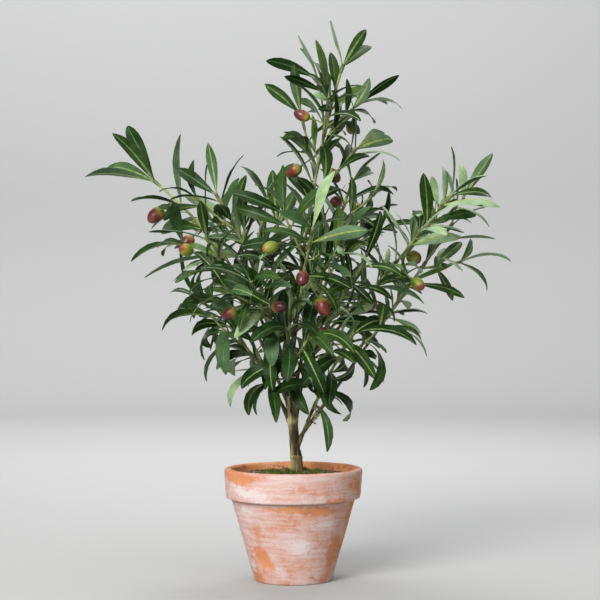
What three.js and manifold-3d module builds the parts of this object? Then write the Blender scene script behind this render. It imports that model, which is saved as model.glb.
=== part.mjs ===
import * as THREE from 'three';
import { mergeVertices } from 'three/addons/utils/BufferGeometryUtils.js';
import Module from 'manifold-3d';

// An artificial olive tree, 605 mm tall, standing in a terracotta pot with moss over its filling.
// Millimetres, +Z up. The origin is the middle of the pot's flat underside, and the side that the
// tree is mostly seen from faces -Y.

// The gap kept between pieces that touch, and the wider one where a limb is cut beside the trunk.
const CLEAR = 0.3;
const CUT = 0.36;

const POT = {
  height: 120.5, rimR: 75, mouthR: 66, collarHeight: 32, collarFootR: 72.3,
  bodyTopR: 67, baseR: 42, floor: 9, innerFloorR: 36, edge: 1.5, sides: 48,
};

const FILL = { level: 112.5, sides: 32 };

// dome is the cushion's profile: shares of the way out from the trunk, and of its height.
const MOSS = {
  innerR: 8.4, outerR: 40, height: 3.6, sides: 24,
  dome: [[0, 0], [1, 0], [1, 0.25], [0.6, 0.75], [0.25, 1], [0, 1]],
  waves: [{ count: 3, swing: 0.06, turn: 0.4 }, { count: 7, swing: 0.045, turn: 1.9 }],
};

// The trunk leans a little to the left on its way up to the fork. Its foot flares on the filling,
// two joints stand proud of it, and its top is thickened by the tape that binds the stems.
const TRUNK = {
  foot: new THREE.Vector3(4.2, 0, FILL.level + CLEAR), fork: new THREE.Vector3(-4.7, 0, 219),
  waist: 5.4, flare: 1.9, flareRise: 9, tape: 1.2, tapeFrom: 178, tapeTo: 196,
  joints: [{ z: 133, swell: 0.7, spread: 2.4 }, { z: 172, swell: 0.9, spread: 4.5 }],
  sides: 10, steps: 14,
};

// Seven limbs rise from the fork, one in the middle and six in a ring round it, and the others leave
// the trunk's side. Each bough and the stem that carries its leaves lie on one curve.
const LIMB = {
  ringR: 4.4, sideRoot: 3.6, radius: 1.9, sideRadius: 2.05, thinning: 0.48,
  boughSides: 5, boughSteps: 10, boughEvery: 2, stemSides: 4, stemSteps: 8, overrun: 2,
};

// Pairs are the lowest and highest of what a seeded draw gives. Angles are in degrees.
const TWIG = {
  sides: 3, steps: 4, footR: 1.25, tipR: 0.85, first: 0.12, spread: 0.66, step: [0.6, 1.4],
  opening: [34, 52], length: [0.75, 1.2], longest: 1.1, shortening: 0.35, lift: [0.05, 0.3],
  golden: 137.5, jitter: 20, bend: 0.55, fromLimb: 8, fromTrunk: 14, fromStem: 9, fromTwig: 6,
};

const OLIVE = {
  halfLength: 10, halfWidth: 7.75, guardR: 8.8, stalk: [14, 24], neck: 9, tries: 6, stalkR: 0.85,
  around: 7, along: 4, place: [0.25, 0.8], out: [0.3, 1], drop: [0.2, 1.2], size: [0.9, 1.08],
  forward: 0.3, weight: 0.6, fromLimb: 13.5, fromTrunk: 19, fromTwig: 12, apart: 18.5,
  stalkFoot: 4, stalkGap: 4, seeds: 500,
};

// A leaf's shape is told at these shares of its length. The keel is the depth of its midrib, and
// facing says how far its upper face turns along the twig, up, and out from the trunk. Of the leaves
// along the twigs one in every two is built, and all of those at their tips.
const LEAF = {
  stations: [0, 0.35, 0.7, 1], neck: 0.4, keel: 1.15, keelEnd: 0.35, rootHalf: 0.05, leastHalf: 0.05,
  bulge: 1.22, fullness: 0.8, curl: 1.15, facing: { along: 0.45, up: 0.6, out: 0.4 },
  firstOnStem: 6, firstOnTwig: 15, lastGap: 7, tipOpening: 31, closing: 14, widest: 88,
  onTwig: 0.94, atTip: 0.98, twigTips: 3, lost: 0.06, every: 2,
  turn: [-18, 18], open: [-9, 9], length: [0.8, 1.14], width: [0.225, 0.275], roll: [-55, 55],
  droop: [0.6, 1.25], upright: 0.05, guard: 0.8, hover: 2.2, slack: 0.02, mingle: 14, ownGap: 2.5,
  twigGap: 3.4, limbGap: 4.6, trunkGap: 10, stalkGap: 3, oliveGap: 1.5, nearby: 0.58, seeds: 900,
};

// What a leaf tries in turn where its first place is taken: a turn round its twig, a wider opening
// and a roll about its own midrib, in degrees.
const TRIES = [
  [0, 0, 0], [22, 0, 0], [-22, 0, 0], [0, 16, 0], [45, 0, 0], [-45, 0, 0],
  [22, 20, 20], [-22, 20, -20], [70, 8, 0], [-70, 8, 0],
];

// Leaves keep out of this space over the pot.
const RIM_GUARD = { z: 128, r: 85 };

// What most limbs have: the number and length of their side twigs, the angle at which leaves open and
// the number of leaves at the tip.
const USUAL = { start: null, twigs: 2, twigLength: 46, opening: 56, tips: 3 };

// One row for each limb with its mass of leaves. start is the height where it leaves the trunk. The
// others rise from the fork, where ring is their place in degrees, or -1 in the middle. bearing and
// reach say where the tip stands from the trunk, and height how high. bow bends the curve, joint is
// the share of it that is bare bough, and seeds start the draws for twigs, olives and leaves. All
// angles are in degrees, and bearings run anticlockwise from +X seen from above.
const SPRAYS = [
  { name: 'top', ring: -1, bearing: -3, reach: 58, height: 553, bow: 0.3, joint: 0.4,
    twigs: 5, twigLength: 48, opening: 46, leaf: 60, droop: 50, gap: 21, olives: 4, seeds: [30, 41, 15] },
  { name: 'left_arm', ring: 180, bearing: 176, reach: 146, height: 430, bow: 0.3, joint: 0.52,
    twigs: 0, opening: 54, tips: 4, leaf: 86, droop: 36, gap: 36, olives: 3, seeds: [1, 53, 64] },
  { name: 'right_arm', ring: 0, bearing: -6, reach: 174, height: 413, bow: -0.05, joint: 0.52,
    leaf: 64, droop: 45, gap: 26, olives: 1, seeds: [23, 24, 8] },
  { name: 'centre_front', ring: 300, bearing: 283, reach: 108, height: 372, bow: 0.2, joint: 0.38,
    leaf: 60, droop: 60, gap: 22, olives: 3, seeds: [27, 37, 20] },
  { name: 'crown_left', ring: 240, bearing: 205, reach: 84, height: 412, bow: 0.25, joint: 0.4,
    leaf: 60, droop: 50, gap: 26, olives: 1, seeds: [30, 39, 18] },
  { name: 'back_left', ring: 120, bearing: 125, reach: 112, height: 392, bow: 0.15, joint: 0.42,
    leaf: 60, droop: 50, gap: 27, olives: 1, seeds: [22, 31, 20] },
  { name: 'back_right', ring: 60, bearing: 50, reach: 118, height: 388, bow: 0.15, joint: 0.42,
    leaf: 60, droop: 50, gap: 27, olives: 1, seeds: [20, 29, 4] },
  { name: 'upper_centre', start: 199, bearing: 27, reach: 76, height: 432, bow: 0.12, joint: 0.45,
    leaf: 60, droop: 50, gap: 24, olives: 2, seeds: [9, 38, 8] },
  { name: 'front_left', start: 197, bearing: 246, reach: 95, height: 318, bow: 0.1, joint: 0.4,
    leaf: 62, droop: 75, gap: 22, olives: 2, seeds: [20, 36, 5] },
  { name: 'centre_right', start: 190, bearing: -42, reach: 98, height: 335, bow: 0.15, joint: 0.4,
    leaf: 62, droop: 65, gap: 23, olives: 1, seeds: [8, 51, 30] },
  { name: 'left_mid', start: 188, bearing: 208, reach: 100, height: 365, bow: 0.1, joint: 0.48,
    leaf: 62, droop: 50, gap: 24, olives: 1, seeds: [20, 50, 9] },
  { name: 'lower_front', start: 180, bearing: 266, reach: 66, height: 270, bow: 0.1, joint: 0.34,
    opening: 68, leaf: 64, droop: 95, gap: 22, olives: 0, seeds: [8, 1, 28] },
  { name: 'lower_left', start: 174, bearing: 188, reach: 66, height: 272, bow: 0.1, joint: 0.3,
    opening: 70, leaf: 70, droop: 98, gap: 19, olives: 0, seeds: [23, 1, 34] },
  { name: 'lower_back_left', start: 166, bearing: 142, reach: 100, height: 312, bow: 0.1, joint: 0.4,
    leaf: 62, droop: 80, gap: 27, olives: 1, seeds: [5, 1, 4] },
  { name: 'lower_back_right', start: 158, bearing: 75, reach: 100, height: 300, bow: 0.1, joint: 0.4,
    leaf: 62, droop: 80, gap: 27, olives: 1, seeds: [5, 29, 18] },
  { name: 'right_arm_low', start: 150, bearing: 6, reach: 172, height: 383, bow: -0.02, joint: 0.52,
    leaf: 62, droop: 45, gap: 27, olives: 2, seeds: [13, 42, 5] },
  { name: 'lower_right', start: 141, bearing: -45, reach: 86, height: 266, bow: 0.15, joint: 0.32,
    opening: 70, leaf: 70, droop: 98, gap: 20, olives: 1, seeds: [23, 29, 13] },
].map((row) => ({ ...USUAL, ...row }));

const UP = new THREE.Vector3(0, 0, 1);
const rad = THREE.MathUtils.degToRad;
const at = (point, direction, distance) => point.clone().addScaledVector(direction, distance);
const mix = (a, b, share) => a.clone().lerp(b, share);
const mixNumber = (a, b, share) => a + (b - a) * share;

// A small generator of its own, so that a seed always gives the same tree. Its numbers are primes.
function makeRandom(seed) {
  const [limit, spread, first, factor] = [2147483647, 7919, 104729, 48271];
  let state = (seed * spread + first) % limit;
  const draw = (low, high) => {
    state = (state * factor) % limit;
    return low + (high - low) * state / limit;
  };
  draw(0, 1);
  draw(0, 1);
  return draw;
}

// Distances and crossings, for keeping pieces apart.

const segmentsOf = (paths) => paths.flatMap((path) => path.slice(1).map((point, i) => [path[i], point]));

function toSegment(point, [a, b]) {
  const along = b.clone().sub(a);
  const from = point.clone().sub(a);
  const share = THREE.MathUtils.clamp(from.dot(along) / along.lengthSq(), 0, 1);
  return from.addScaledVector(along, -share).length();
}

const toSegments = (point, segments) => Math.min(...segments.map((segment) => toSegment(point, segment)));

const least = (points, segments) => Math.min(...points.map((point) => toSegments(point, segments)));

function between(segments, others) {
  const shares = [0, 0.25, 0.5, 0.75, 1];
  return least(shares.flatMap((share) => segments.map(([a, b]) => mix(a, b, share))), others);
}

function crosses([from, to], [a, b, c]) {
  const way = to.clone().sub(from);
  const side1 = b.clone().sub(a);
  const side2 = c.clone().sub(a);
  const h = way.clone().cross(side2);
  const scale = side1.dot(h);
  const parallel = 1e-9;
  if (Math.abs(scale) < parallel) return false;
  const s = from.clone().sub(a);
  const u = s.dot(h) / scale;
  if (u <= 0) return false;
  const q = s.cross(side1);
  const v = way.dot(q) / scale;
  if (v <= 0 || u + v >= 1) return false;
  const t = side2.dot(q) / scale;
  return t > 0 && t < 1;
}

const anyCross = (edges, faces) => edges.some((edge) => faces.some((face) => crosses(edge, face)));

// Whether a point lies close over or under a face.
function hovers(point, [a, b, c]) {
  const side1 = b.clone().sub(a);
  const side2 = c.clone().sub(a);
  const normal = side1.clone().cross(side2);
  const area = normal.length();
  normal.divideScalar(area);
  const w = point.clone().sub(a);
  if (Math.abs(w.dot(normal)) >= LEAF.hover) return false;
  const u = w.clone().cross(side2).dot(normal) / area;
  const v = side1.cross(w).dot(normal) / area;
  return u > -LEAF.slack && v > -LEAF.slack && u + v < 1 + LEAF.slack;
}

const anyHover = (points, faces) => points.some((point) => faces.some((face) => hovers(point, face)));

// The curves of trunk, limbs and twigs.

const trunkPoint = (z) => mix(TRUNK.foot, TRUNK.fork, (z - TRUNK.foot.z) / (TRUNK.fork.z - TRUNK.foot.z));

function trunkRadius(z) {
  const flare = TRUNK.flare * Math.exp((TRUNK.foot.z - z) / TRUNK.flareRise);
  const tape = TRUNK.tape * THREE.MathUtils.smoothstep(z, TRUNK.tapeFrom, TRUNK.tapeTo);
  const swollen = (sum, joint) => sum + joint.swell * Math.exp(-(((z - joint.z) / joint.spread) ** 2));
  return TRUNK.joints.reduce(swollen, TRUNK.waist + flare + tape);
}

function bezier([a, b, c], t) {
  const first = a.clone().multiplyScalar((1 - t) ** 2);
  return first.addScaledVector(b, 2 * t * (1 - t)).addScaledVector(c, t * t);
}

function pathOf(curve, from, to, steps) {
  return Array.from({ length: steps + 1 }, (_, i) => bezier(curve, from + (to - from) * i / steps));
}

function tangentsOf(path) {
  return path.map((_, i) => {
    const ahead = path[Math.min(path.length - 1, i + 1)];
    return ahead.clone().sub(path[Math.max(0, i - 1)]).normalize();
  });
}

// A direction square to the tangent, turned by an angle round it.
function across(tangent, angle) {
  const steep = 0.94;
  const reference = Math.abs(tangent.z) < steep ? UP : new THREE.Vector3(1, 0, 0);
  const u = tangent.clone().cross(reference).normalize();
  const v = tangent.clone().cross(u);
  return u.multiplyScalar(Math.cos(angle)).addScaledVector(v, Math.sin(angle));
}

function limbCurve(spray) {
  const out = new THREE.Vector3(Math.cos(rad(spray.bearing)), Math.sin(rad(spray.bearing)), 0);
  const fromFork = spray.start === null;
  const axis = fromFork ? TRUNK.fork : trunkPoint(spray.start);
  const root = axis.clone();
  if (!fromFork) root.addScaledVector(out, LIMB.sideRoot);
  else if (spray.ring >= 0) {
    root.x += LIMB.ringR * Math.cos(rad(spray.ring));
    root.y += LIMB.ringR * Math.sin(rad(spray.ring));
  }
  const tip = at(axis, out, spray.reach).setZ(spray.height);
  const flat = new THREE.Vector3(tip.x - root.x, tip.y - root.y, 0);
  const middle = at(mix(root, tip, 0.5), flat, -0.5 * spray.bow);
  middle.z += (spray.height - root.z) * 0.5 * spray.bow;
  return [root, middle, tip];
}

// Side twigs spiral up each stem. One that would come near a limb or another twig is left out.
function growTwigs(sprays) {
  for (const spray of sprays) {
    spray.curve = limbCurve(spray);
    spray.bough = pathOf(spray.curve, 0, spray.joint, LIMB.boughSteps);
    spray.stem = pathOf(spray.curve, spray.joint, 1, LIMB.stemSteps);
    spray.paths = [spray.stem, ...sideTwigs(spray)];
  }
  const trunk = segmentsOf([[TRUNK.foot, TRUNK.fork]]);
  const boughs = segmentsOf(sprays.map((spray) => spray.bough));
  const kept = [];
  for (const spray of sprays) {
    const stems = sprays.filter((other) => other !== spray).map((other) => segmentsOf([other.stem]));
    spray.paths = spray.paths.filter((path, i) => {
      if (i === 0) return true;
      const whole = segmentsOf([path]);
      const outer = segmentsOf([path.slice(1)]);
      const free = between(outer, boughs) > TWIG.fromLimb && between(outer, trunk) > TWIG.fromTrunk
        && stems.every((stem) => between(whole, stem) >= TWIG.fromStem)
        && kept.every((twig) => between(whole, twig) >= TWIG.fromTwig);
      if (free) kept.push(whole);
      return free;
    });
  }
}

function sideTwigs(spray) {
  const draw = makeRandom(spray.seeds[0]);
  const count = spray.twigs;
  const step = 0.01;
  let spin = draw(0, 2 * Math.PI);
  return Array.from({ length: count }, (_, i) => {
    const share = TWIG.first + TWIG.spread * (i + 0.5 * draw(...TWIG.step)) / count;
    const t = spray.joint + (1 - spray.joint) * share;
    const root = bezier(spray.curve, t);
    const ahead = bezier(spray.curve, Math.min(1, t + step));
    const tangent = ahead.sub(bezier(spray.curve, t - step)).normalize();
    spin += rad(TWIG.golden) + rad(draw(-TWIG.jitter, TWIG.jitter));
    const opening = rad(draw(...TWIG.opening));
    const length = spray.twigLength * draw(...TWIG.length) * (TWIG.longest - TWIG.shortening * i / count);
    const lift = draw(...TWIG.lift);
    const way = tangent.multiplyScalar(Math.cos(opening));
    way.addScaledVector(across(way.clone().normalize(), spin), Math.sin(opening)).normalize();
    const tip = at(root, way, length);
    tip.z += length * lift;
    return pathOf([root, at(root, way, length * TWIG.bend), tip], 0, 1, TWIG.steps);
  });
}

// Olives hang on stalks from the stems and twigs, where there is room for them.
function growOlives(sprays) {
  const trunk = segmentsOf([[TRUNK.foot, TRUNK.fork]]);
  const boughs = segmentsOf(sprays.map((spray) => spray.bough));
  const grown = [];
  for (const spray of sprays) {
    const draw = makeRandom(spray.seeds[1] + OLIVE.seeds);
    const others = sprays.filter((other) => other !== spray).map((other) => segmentsOf(other.paths));
    const own = segmentsOf(spray.paths);
    spray.fruit = [];
    for (let k = 0; k < OLIVE.tries; k++) {
      const path = spray.paths[k % spray.paths.length];
      const share = draw(...OLIVE.place);
      const angle = draw(0, 2 * Math.PI);
      const out = draw(...OLIVE.out);
      const drop = draw(...OLIVE.drop);
      const size = draw(...OLIVE.size);
      const stalk = draw(...OLIVE.stalk);
      if (spray.fruit.length >= spray.olives) continue;
      const i = Math.min(Math.floor(share * (path.length - 1)), path.length - 2);
      const root = path[i];
      const tangent = path[i + 1].clone().sub(root).normalize();
      const axis = across(tangent, angle).multiplyScalar(out).addScaledVector(tangent, OLIVE.forward);
      axis.addScaledVector(UP, -OLIVE.weight * drop).normalize();
      const centre = at(root, axis, stalk + OLIVE.neck);
      const line = [at(root, axis, OLIVE.stalkFoot), centre];
      const free = toSegments(centre, boughs) >= OLIVE.fromLimb
        && toSegments(centre, trunk) >= OLIVE.fromTrunk && toSegments(centre, own) >= OLIVE.fromTwig
        && others.every((other) => toSegments(centre, other) >= OLIVE.fromTwig)
        && others.every((other) => between([line], other) >= OLIVE.stalkGap)
        && grown.every((olive) => centre.distanceTo(olive.centre) >= OLIVE.apart
          && toSegment(olive.centre, line) >= OLIVE.fromTwig
          && toSegment(centre, olive.line) >= OLIVE.fromTwig
          && between([line], [olive.line]) >= OLIVE.stalkGap);
      if (!free) continue;
      const olive = { root, centre, axis, size, line };
      spray.fruit.push(olive);
      grown.push(olive);
    }
  }
  return grown;
}

// Half the leaf's width at a share of its length, as a share of its greatest half width.
function leafHalf(share) {
  if (share <= 0) return LEAF.rootHalf;
  if (share >= 1) return 0;
  return Math.max(LEAF.leastHalf, Math.sin(Math.PI * share ** LEAF.bulge) ** LEAF.fullness);
}

// A leaf opens from its twig by an angle, and bends away from its upper face, more and more towards
// its tip.
function makeLeaf({ root, tangent }, radial, { length, width, open, roll, droop }) {
  const heading = tangent.clone().multiplyScalar(Math.cos(open));
  heading.addScaledVector(radial, Math.sin(open)).normalize();
  const outward = new THREE.Vector3(root.x - TRUNK.fork.x, root.y, 0);
  outward.divideScalar(Math.max(outward.length(), 1));
  const face = tangent.clone().multiplyScalar(LEAF.facing.along).addScaledVector(UP, LEAF.facing.up);
  face.addScaledVector(outward, LEAF.facing.out);
  face.addScaledVector(heading, -face.dot(heading)).normalize().applyAxisAngle(heading, roll);
  const side = heading.clone().cross(face).normalize();
  const wayAt = (share) => heading.clone().applyAxisAngle(side, -droop * share ** LEAF.curl);
  const spine = [{ point: root, way: heading }];
  LEAF.stations.slice(1).forEach((station, i) => {
    const before = LEAF.stations[i];
    const point = at(spine[i].point, wayAt((before + station) / 2), length * (station - before));
    spine.push({ point, way: wayAt(station) });
  });
  return { spine, side, length, width };
}

// The blade as a thin ribbon, a little larger than it is, for the tests that keep leaves apart. It
// starts in the leaf's narrow neck.
function ribbonOf(leaf) {
  const rows = leaf.spine.map(({ point }, i) => ({ point, half: leafHalf(LEAF.stations[i]) }));
  const [foot, next] = rows;
  const half = mixNumber(foot.half, next.half, LEAF.neck);
  rows[0] = { point: mix(foot.point, next.point, LEAF.neck), half };
  const edge = (turn) => rows.map((row) => (
    at(row.point, leaf.side, turn * (leaf.width / 2 * row.half + LEAF.guard))));
  const left = edge(1);
  const right = edge(-1);
  const faces = [];
  const edges = [[left[0], right[0]]];
  for (let i = 0; i < left.length - 1; i++) {
    faces.push([left[i], right[i], right[i + 1]], [left[i], right[i + 1], left[i + 1]]);
    edges.push([left[i], left[i + 1]], [right[i], right[i + 1]]);
    edges.push([left[i + 1], right[i + 1]], [left[i], right[i + 1]]);
  }
  const points = [...left, ...right, ...rows.map(({ point }) => point)];
  const middles = faces.map(([a, b, c]) => a.clone().add(b).add(c).divideScalar(3));
  const centre = mix(leaf.spine[1].point, leaf.spine[2].point, 0.5);
  return { faces, edges, points, middles, centre, radius: leaf.length * LEAF.nearby };
}

// The places for leaves: opposite pairs up each twig, each pair square to the last, and a cluster
// at the tip.
function leafPlaces(spray, path, isStem, draw) {
  const tangents = tangentsOf(path);
  const lengths = path.slice(1).map((point, i) => point.distanceTo(path[i]));
  const whole = lengths.reduce((sum, length) => sum + length, 0);
  let spin = draw(0, 2 * Math.PI);
  let wanted = isStem ? LEAF.firstOnStem : LEAF.firstOnTwig;
  let passed = 0;
  const places = [];
  lengths.forEach((length, i) => {
    while (wanted <= passed + length) {
      const share = (wanted - passed) / length;
      if (wanted < whole - LEAF.lastGap) {
        const root = mix(path[i], path[i + 1], share);
        const tangent = mix(tangents[i], tangents[i + 1], share).normalize();
        const opening = spray.opening - LEAF.closing * wanted / whole;
        for (const angle of [spin, spin + Math.PI]) {
          places.push({ root, tangent, angle, opening, size: isStem ? 1 : LEAF.onTwig });
        }
        spin += rad(90);
      }
      wanted += spray.gap;
    }
    passed += length;
  });
  const count = isStem ? spray.tips : LEAF.twigTips;
  for (let j = 0; j < count; j++) {
    const angle = spin + rad(360 / count) * j;
    const opening = LEAF.tipOpening;
    const [root, tangent] = [path.at(-1), tangents.at(-1)];
    places.push({ root, tangent, angle, opening, size: LEAF.atTip, atTip: true });
  }
  return places;
}

// Each mass keeps to its own space: a leaf that would leave it, or come too near a limb, a twig, an
// olive or another leaf in all of its tries, is left out.
function growLeaves(sprays, olives) {
  const trunk = segmentsOf([[TRUNK.foot, TRUNK.fork]]);
  const boughs = segmentsOf(sprays.map((spray) => spray.bough));
  const stalks = olives.map((olive) => olive.line);
  const crowd = [];
  for (const spray of sprays) {
    const draw = makeRandom(spray.seeds[2] + LEAF.seeds);
    const own = segmentsOf(spray.paths);
    const others = sprays.filter((other) => other !== spray).flatMap((other) => segmentsOf(other.paths));
    const lines = [...others, ...boughs, ...trunk, ...stalks];
    const fits = (leaf, ribbon) => {
      const outer = leaf.spine.slice(1).map(({ point }) => point);
      const ownGaps = outer.map((point) => toSegments(point, own));
      const strays = outer.some((point, i) => ownGaps[i] > toSegments(point, others) + LEAF.mingle);
      if (strays || Math.min(...ownGaps) < LEAF.ownGap) return false;
      const points = [...ribbon.points, ...ribbon.middles];
      if (least(points, others) < LEAF.twigGap || least(points, boughs) < LEAF.limbGap) return false;
      if (least(points, trunk) < LEAF.trunkGap || least(outer, stalks) < LEAF.stalkGap) return false;
      if (anyCross(lines, ribbon.faces)) return false;
      const low = ribbon.points.some((point) => point.z < RIM_GUARD.z);
      if (low && ribbon.points.some((point) => Math.hypot(point.x, point.y) < RIM_GUARD.r)) return false;
      const onOlive = ({ centre, size }) => points.some((point) => (
        point.distanceTo(centre) < OLIVE.guardR * size + LEAF.oliveGap));
      if (olives.some(onOlive)) return false;
      return !crowd.some((other) => other.centre.distanceTo(ribbon.centre) < other.radius + ribbon.radius
        && (anyCross(ribbon.edges, other.faces) || anyCross(other.edges, ribbon.faces)
          || anyHover(ribbon.points, other.faces) || anyHover(other.points, ribbon.faces)));
    };
    spray.leaves = [];
    for (const path of spray.paths) {
      for (const place of leafPlaces(spray, path, path === spray.stem, draw)) {
        const angle = place.angle + rad(draw(...LEAF.turn));
        const opening = place.opening + draw(...LEAF.open);
        const length = spray.leaf * place.size * draw(...LEAF.length);
        const width = length * draw(...LEAF.width);
        const roll = draw(...LEAF.roll);
        const droop = rad(spray.droop * draw(...LEAF.droop));
        if (draw(0, 1) < LEAF.lost) continue;
        for (const [turn, wider, rollMore] of TRIES) {
          const radial = across(place.tangent, angle + rad(turn));
          const open = rad(Math.min(LEAF.widest, opening + wider));
          const rise = place.tangent.z * Math.cos(open) + radial.z * Math.sin(open);
          const lean = rise > 0 ? Math.sqrt(Math.max(LEAF.upright, 1 - rise ** 2)) : 1;
          const shape = { length, width, open, roll: rad(roll + rollMore), droop: droop * lean };
          const leaf = makeLeaf(place, radial, shape);
          const ribbon = ribbonOf(leaf);
          if (!fits(leaf, ribbon)) continue;
          crowd.push(ribbon);
          spray.leaves.push({ ...leaf, atTip: place.atTip });
          break;
        }
      }
    }
  }
}

// Closed solids from rings of points. A ring runs anticlockwise round the way to the next one.

function loft(rings, tip = null) {
  const sides = rings[0].length;
  const points = [...rings.flat(), ...(tip ? [tip] : [])];
  const faces = [];
  for (let i = 1; i < sides - 1; i++) faces.push([0, i + 1, i]);
  for (let k = 0; k < rings.length - 1; k++) {
    for (let j = 0; j < sides; j++) {
      const a = k * sides + j;
      const b = k * sides + (j + 1) % sides;
      faces.push([a, b, b + sides], [a, b + sides, a + sides]);
    }
  }
  const last = (rings.length - 1) * sides;
  if (tip) {
    for (let j = 0; j < sides; j++) faces.push([last + j, last + (j + 1) % sides, points.length - 1]);
  } else {
    for (let i = 1; i < sides - 1; i++) faces.push([last, last + i, last + i + 1]);
  }
  const geometry = new THREE.BufferGeometry().setFromPoints(points);
  geometry.setIndex(faces.flat());
  return geometry;
}

// A tapering limb along a path. The frame is carried along it, so that its sides don't twist, and
// flatZ cuts its foot level.
function limbSolid(path, radiusAt, sides, flatZ = null) {
  const tangents = tangentsOf(path);
  const u = across(tangents[0], 0);
  const rings = path.map((centre, k) => {
    const tangent = tangents[k];
    u.addScaledVector(tangent, -u.dot(tangent)).normalize();
    const v = tangent.clone().cross(u);
    const radius = radiusAt(k / (path.length - 1));
    return Array.from({ length: sides }, (_, j) => {
      const angle = 2 * Math.PI * j / sides;
      const point = at(at(centre, u, radius * Math.cos(angle)), v, radius * Math.sin(angle));
      return k === 0 && flatZ !== null ? at(point, tangent, (flatZ - point.z) / tangent.z) : point;
    });
  });
  return loft(rings);
}

function leafSolid(leaf) {
  const rings = leaf.spine.slice(0, -1).map(({ point, way }, i) => {
    const station = LEAF.stations[i];
    const half = leaf.width / 2 * leafHalf(station);
    const below = way.clone().cross(leaf.side);
    const keel = LEAF.keel * mixNumber(LEAF.keelEnd, 1, Math.sin(Math.PI * station));
    return [at(point, leaf.side, half), at(point, below, keel), at(point, leaf.side, -half)];
  });
  return loft(rings, leaf.spine.at(-1).point);
}

function oliveSolid({ centre, axis, size }) {
  const ball = new THREE.SphereGeometry(1, OLIVE.around, OLIVE.along);
  ball.scale(OLIVE.halfWidth * size, OLIVE.halfLength * size, OLIVE.halfWidth * size);
  ball.applyQuaternion(new THREE.Quaternion().setFromUnitVectors(new THREE.Vector3(0, 1, 0), axis));
  return ball.translate(centre.x, centre.y, centre.z);
}

// Joining and cutting.

const wasm = await Module();
wasm.setup();

function toSolid(geometry) {
  const bare = geometry.clone();
  bare.deleteAttribute('normal');
  bare.deleteAttribute('uv');
  const merged = mergeVertices(bare);
  const vertProperties = merged.attributes.position.array;
  const triVerts = new Uint32Array(merged.index.array);
  return new wasm.Manifold(new wasm.Mesh({ numProp: 3, vertProperties, triVerts }));
}

function toGeometry(solid) {
  const mesh = solid.getMesh();
  const geometry = new THREE.BufferGeometry();
  geometry.setAttribute('position', new THREE.BufferAttribute(mesh.vertProperties, 3));
  geometry.setIndex(new THREE.BufferAttribute(mesh.triVerts, 1));
  geometry.computeVertexNormals();
  return geometry;
}

const fuse = (geometries) => geometries.map(toSolid).reduce((whole, piece) => whole.add(piece));

// The pieces.

const tree = new THREE.Group();

function addPiece(name, geometry, color, roughness) {
  const piece = new THREE.Mesh(geometry, new THREE.MeshStandardMaterial({ color, roughness, metalness: 0 }));
  piece.name = name;
  tree.add(piece);
}

// Turns a profile of [radius, height] points round the vertical axis.
function turned(profile, sides) {
  const outline = profile.map(([r, z]) => new THREE.Vector2(r, z));
  return new THREE.LatheGeometry(outline, sides).rotateX(Math.PI / 2);
}

// The radius of the pot's inner wall at a height.
const wallR = (z) => THREE.MathUtils.mapLinear(z, POT.floor, POT.height, POT.innerFloorR, POT.mouthR);

function pot() {
  const collarFoot = POT.height - POT.collarHeight;
  const { edge } = POT;
  return turned([
    [0, 0], [POT.baseR - edge, 0], [POT.baseR, edge], [POT.bodyTopR, collarFoot],
    [POT.collarFootR - edge, collarFoot], [POT.collarFootR, collarFoot + edge],
    [POT.rimR, POT.height - edge], [POT.rimR - edge, POT.height],
    [POT.mouthR + edge, POT.height], [wallR(POT.height - edge), POT.height - edge],
    [POT.innerFloorR, POT.floor], [0, POT.floor],
  ], POT.sides);
}

// It stands inside the flats of the pot's faceted wall.
function filling() {
  const low = POT.floor + CLEAR;
  const reach = (z) => wallR(z) * Math.cos(Math.PI / POT.sides) - CLEAR;
  return turned([[0, low], [reach(low), low], [reach(FILL.level), FILL.level], [0, FILL.level]], FILL.sides);
}

// A low cushion round the trunk's foot, with a wavy edge.
function moss() {
  const low = FILL.level + CLEAR;
  const span = MOSS.outerR - MOSS.innerR;
  const outline = MOSS.dome.map(([share, rise]) => [MOSS.innerR + share * span, low + rise * MOSS.height]);
  const shape = turned([...outline, outline[0]], MOSS.sides);
  const place = shape.attributes.position;
  for (let i = 0; i < place.count; i++) {
    const [x, y] = [place.getX(i), place.getY(i)];
    const angle = Math.atan2(y, x);
    const swings = MOSS.waves.map(({ count, swing, turn }) => swing * Math.sin(count * angle + turn));
    const outer = THREE.MathUtils.clamp((Math.hypot(x, y) - MOSS.innerR) / span, 0, 1);
    const stretch = 1 + outer * swings.reduce((sum, swing) => sum + swing);
    place.setXY(i, x * stretch, y * stretch);
  }
  return shape.translate(TRUNK.foot.x, TRUNK.foot.y, 0);
}

// grow widens and lengthens the trunk all over, for cutting what stands beside it.
function trunk(grow) {
  const rings = Array.from({ length: TRUNK.steps + 1 }, (_, k) => {
    const z = mixNumber(TRUNK.foot.z, TRUNK.fork.z, k / TRUNK.steps);
    const centre = trunkPoint(z);
    const radius = trunkRadius(z) + grow;
    if (k === 0) centre.z -= grow;
    if (k === TRUNK.steps) centre.z += grow;
    return Array.from({ length: TRUNK.sides }, (__, j) => {
      const angle = 2 * Math.PI * j / TRUNK.sides;
      return new THREE.Vector3(radius * Math.cos(angle), radius * Math.sin(angle), 0).add(centre);
    });
  });
  return loft(rings);
}

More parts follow.
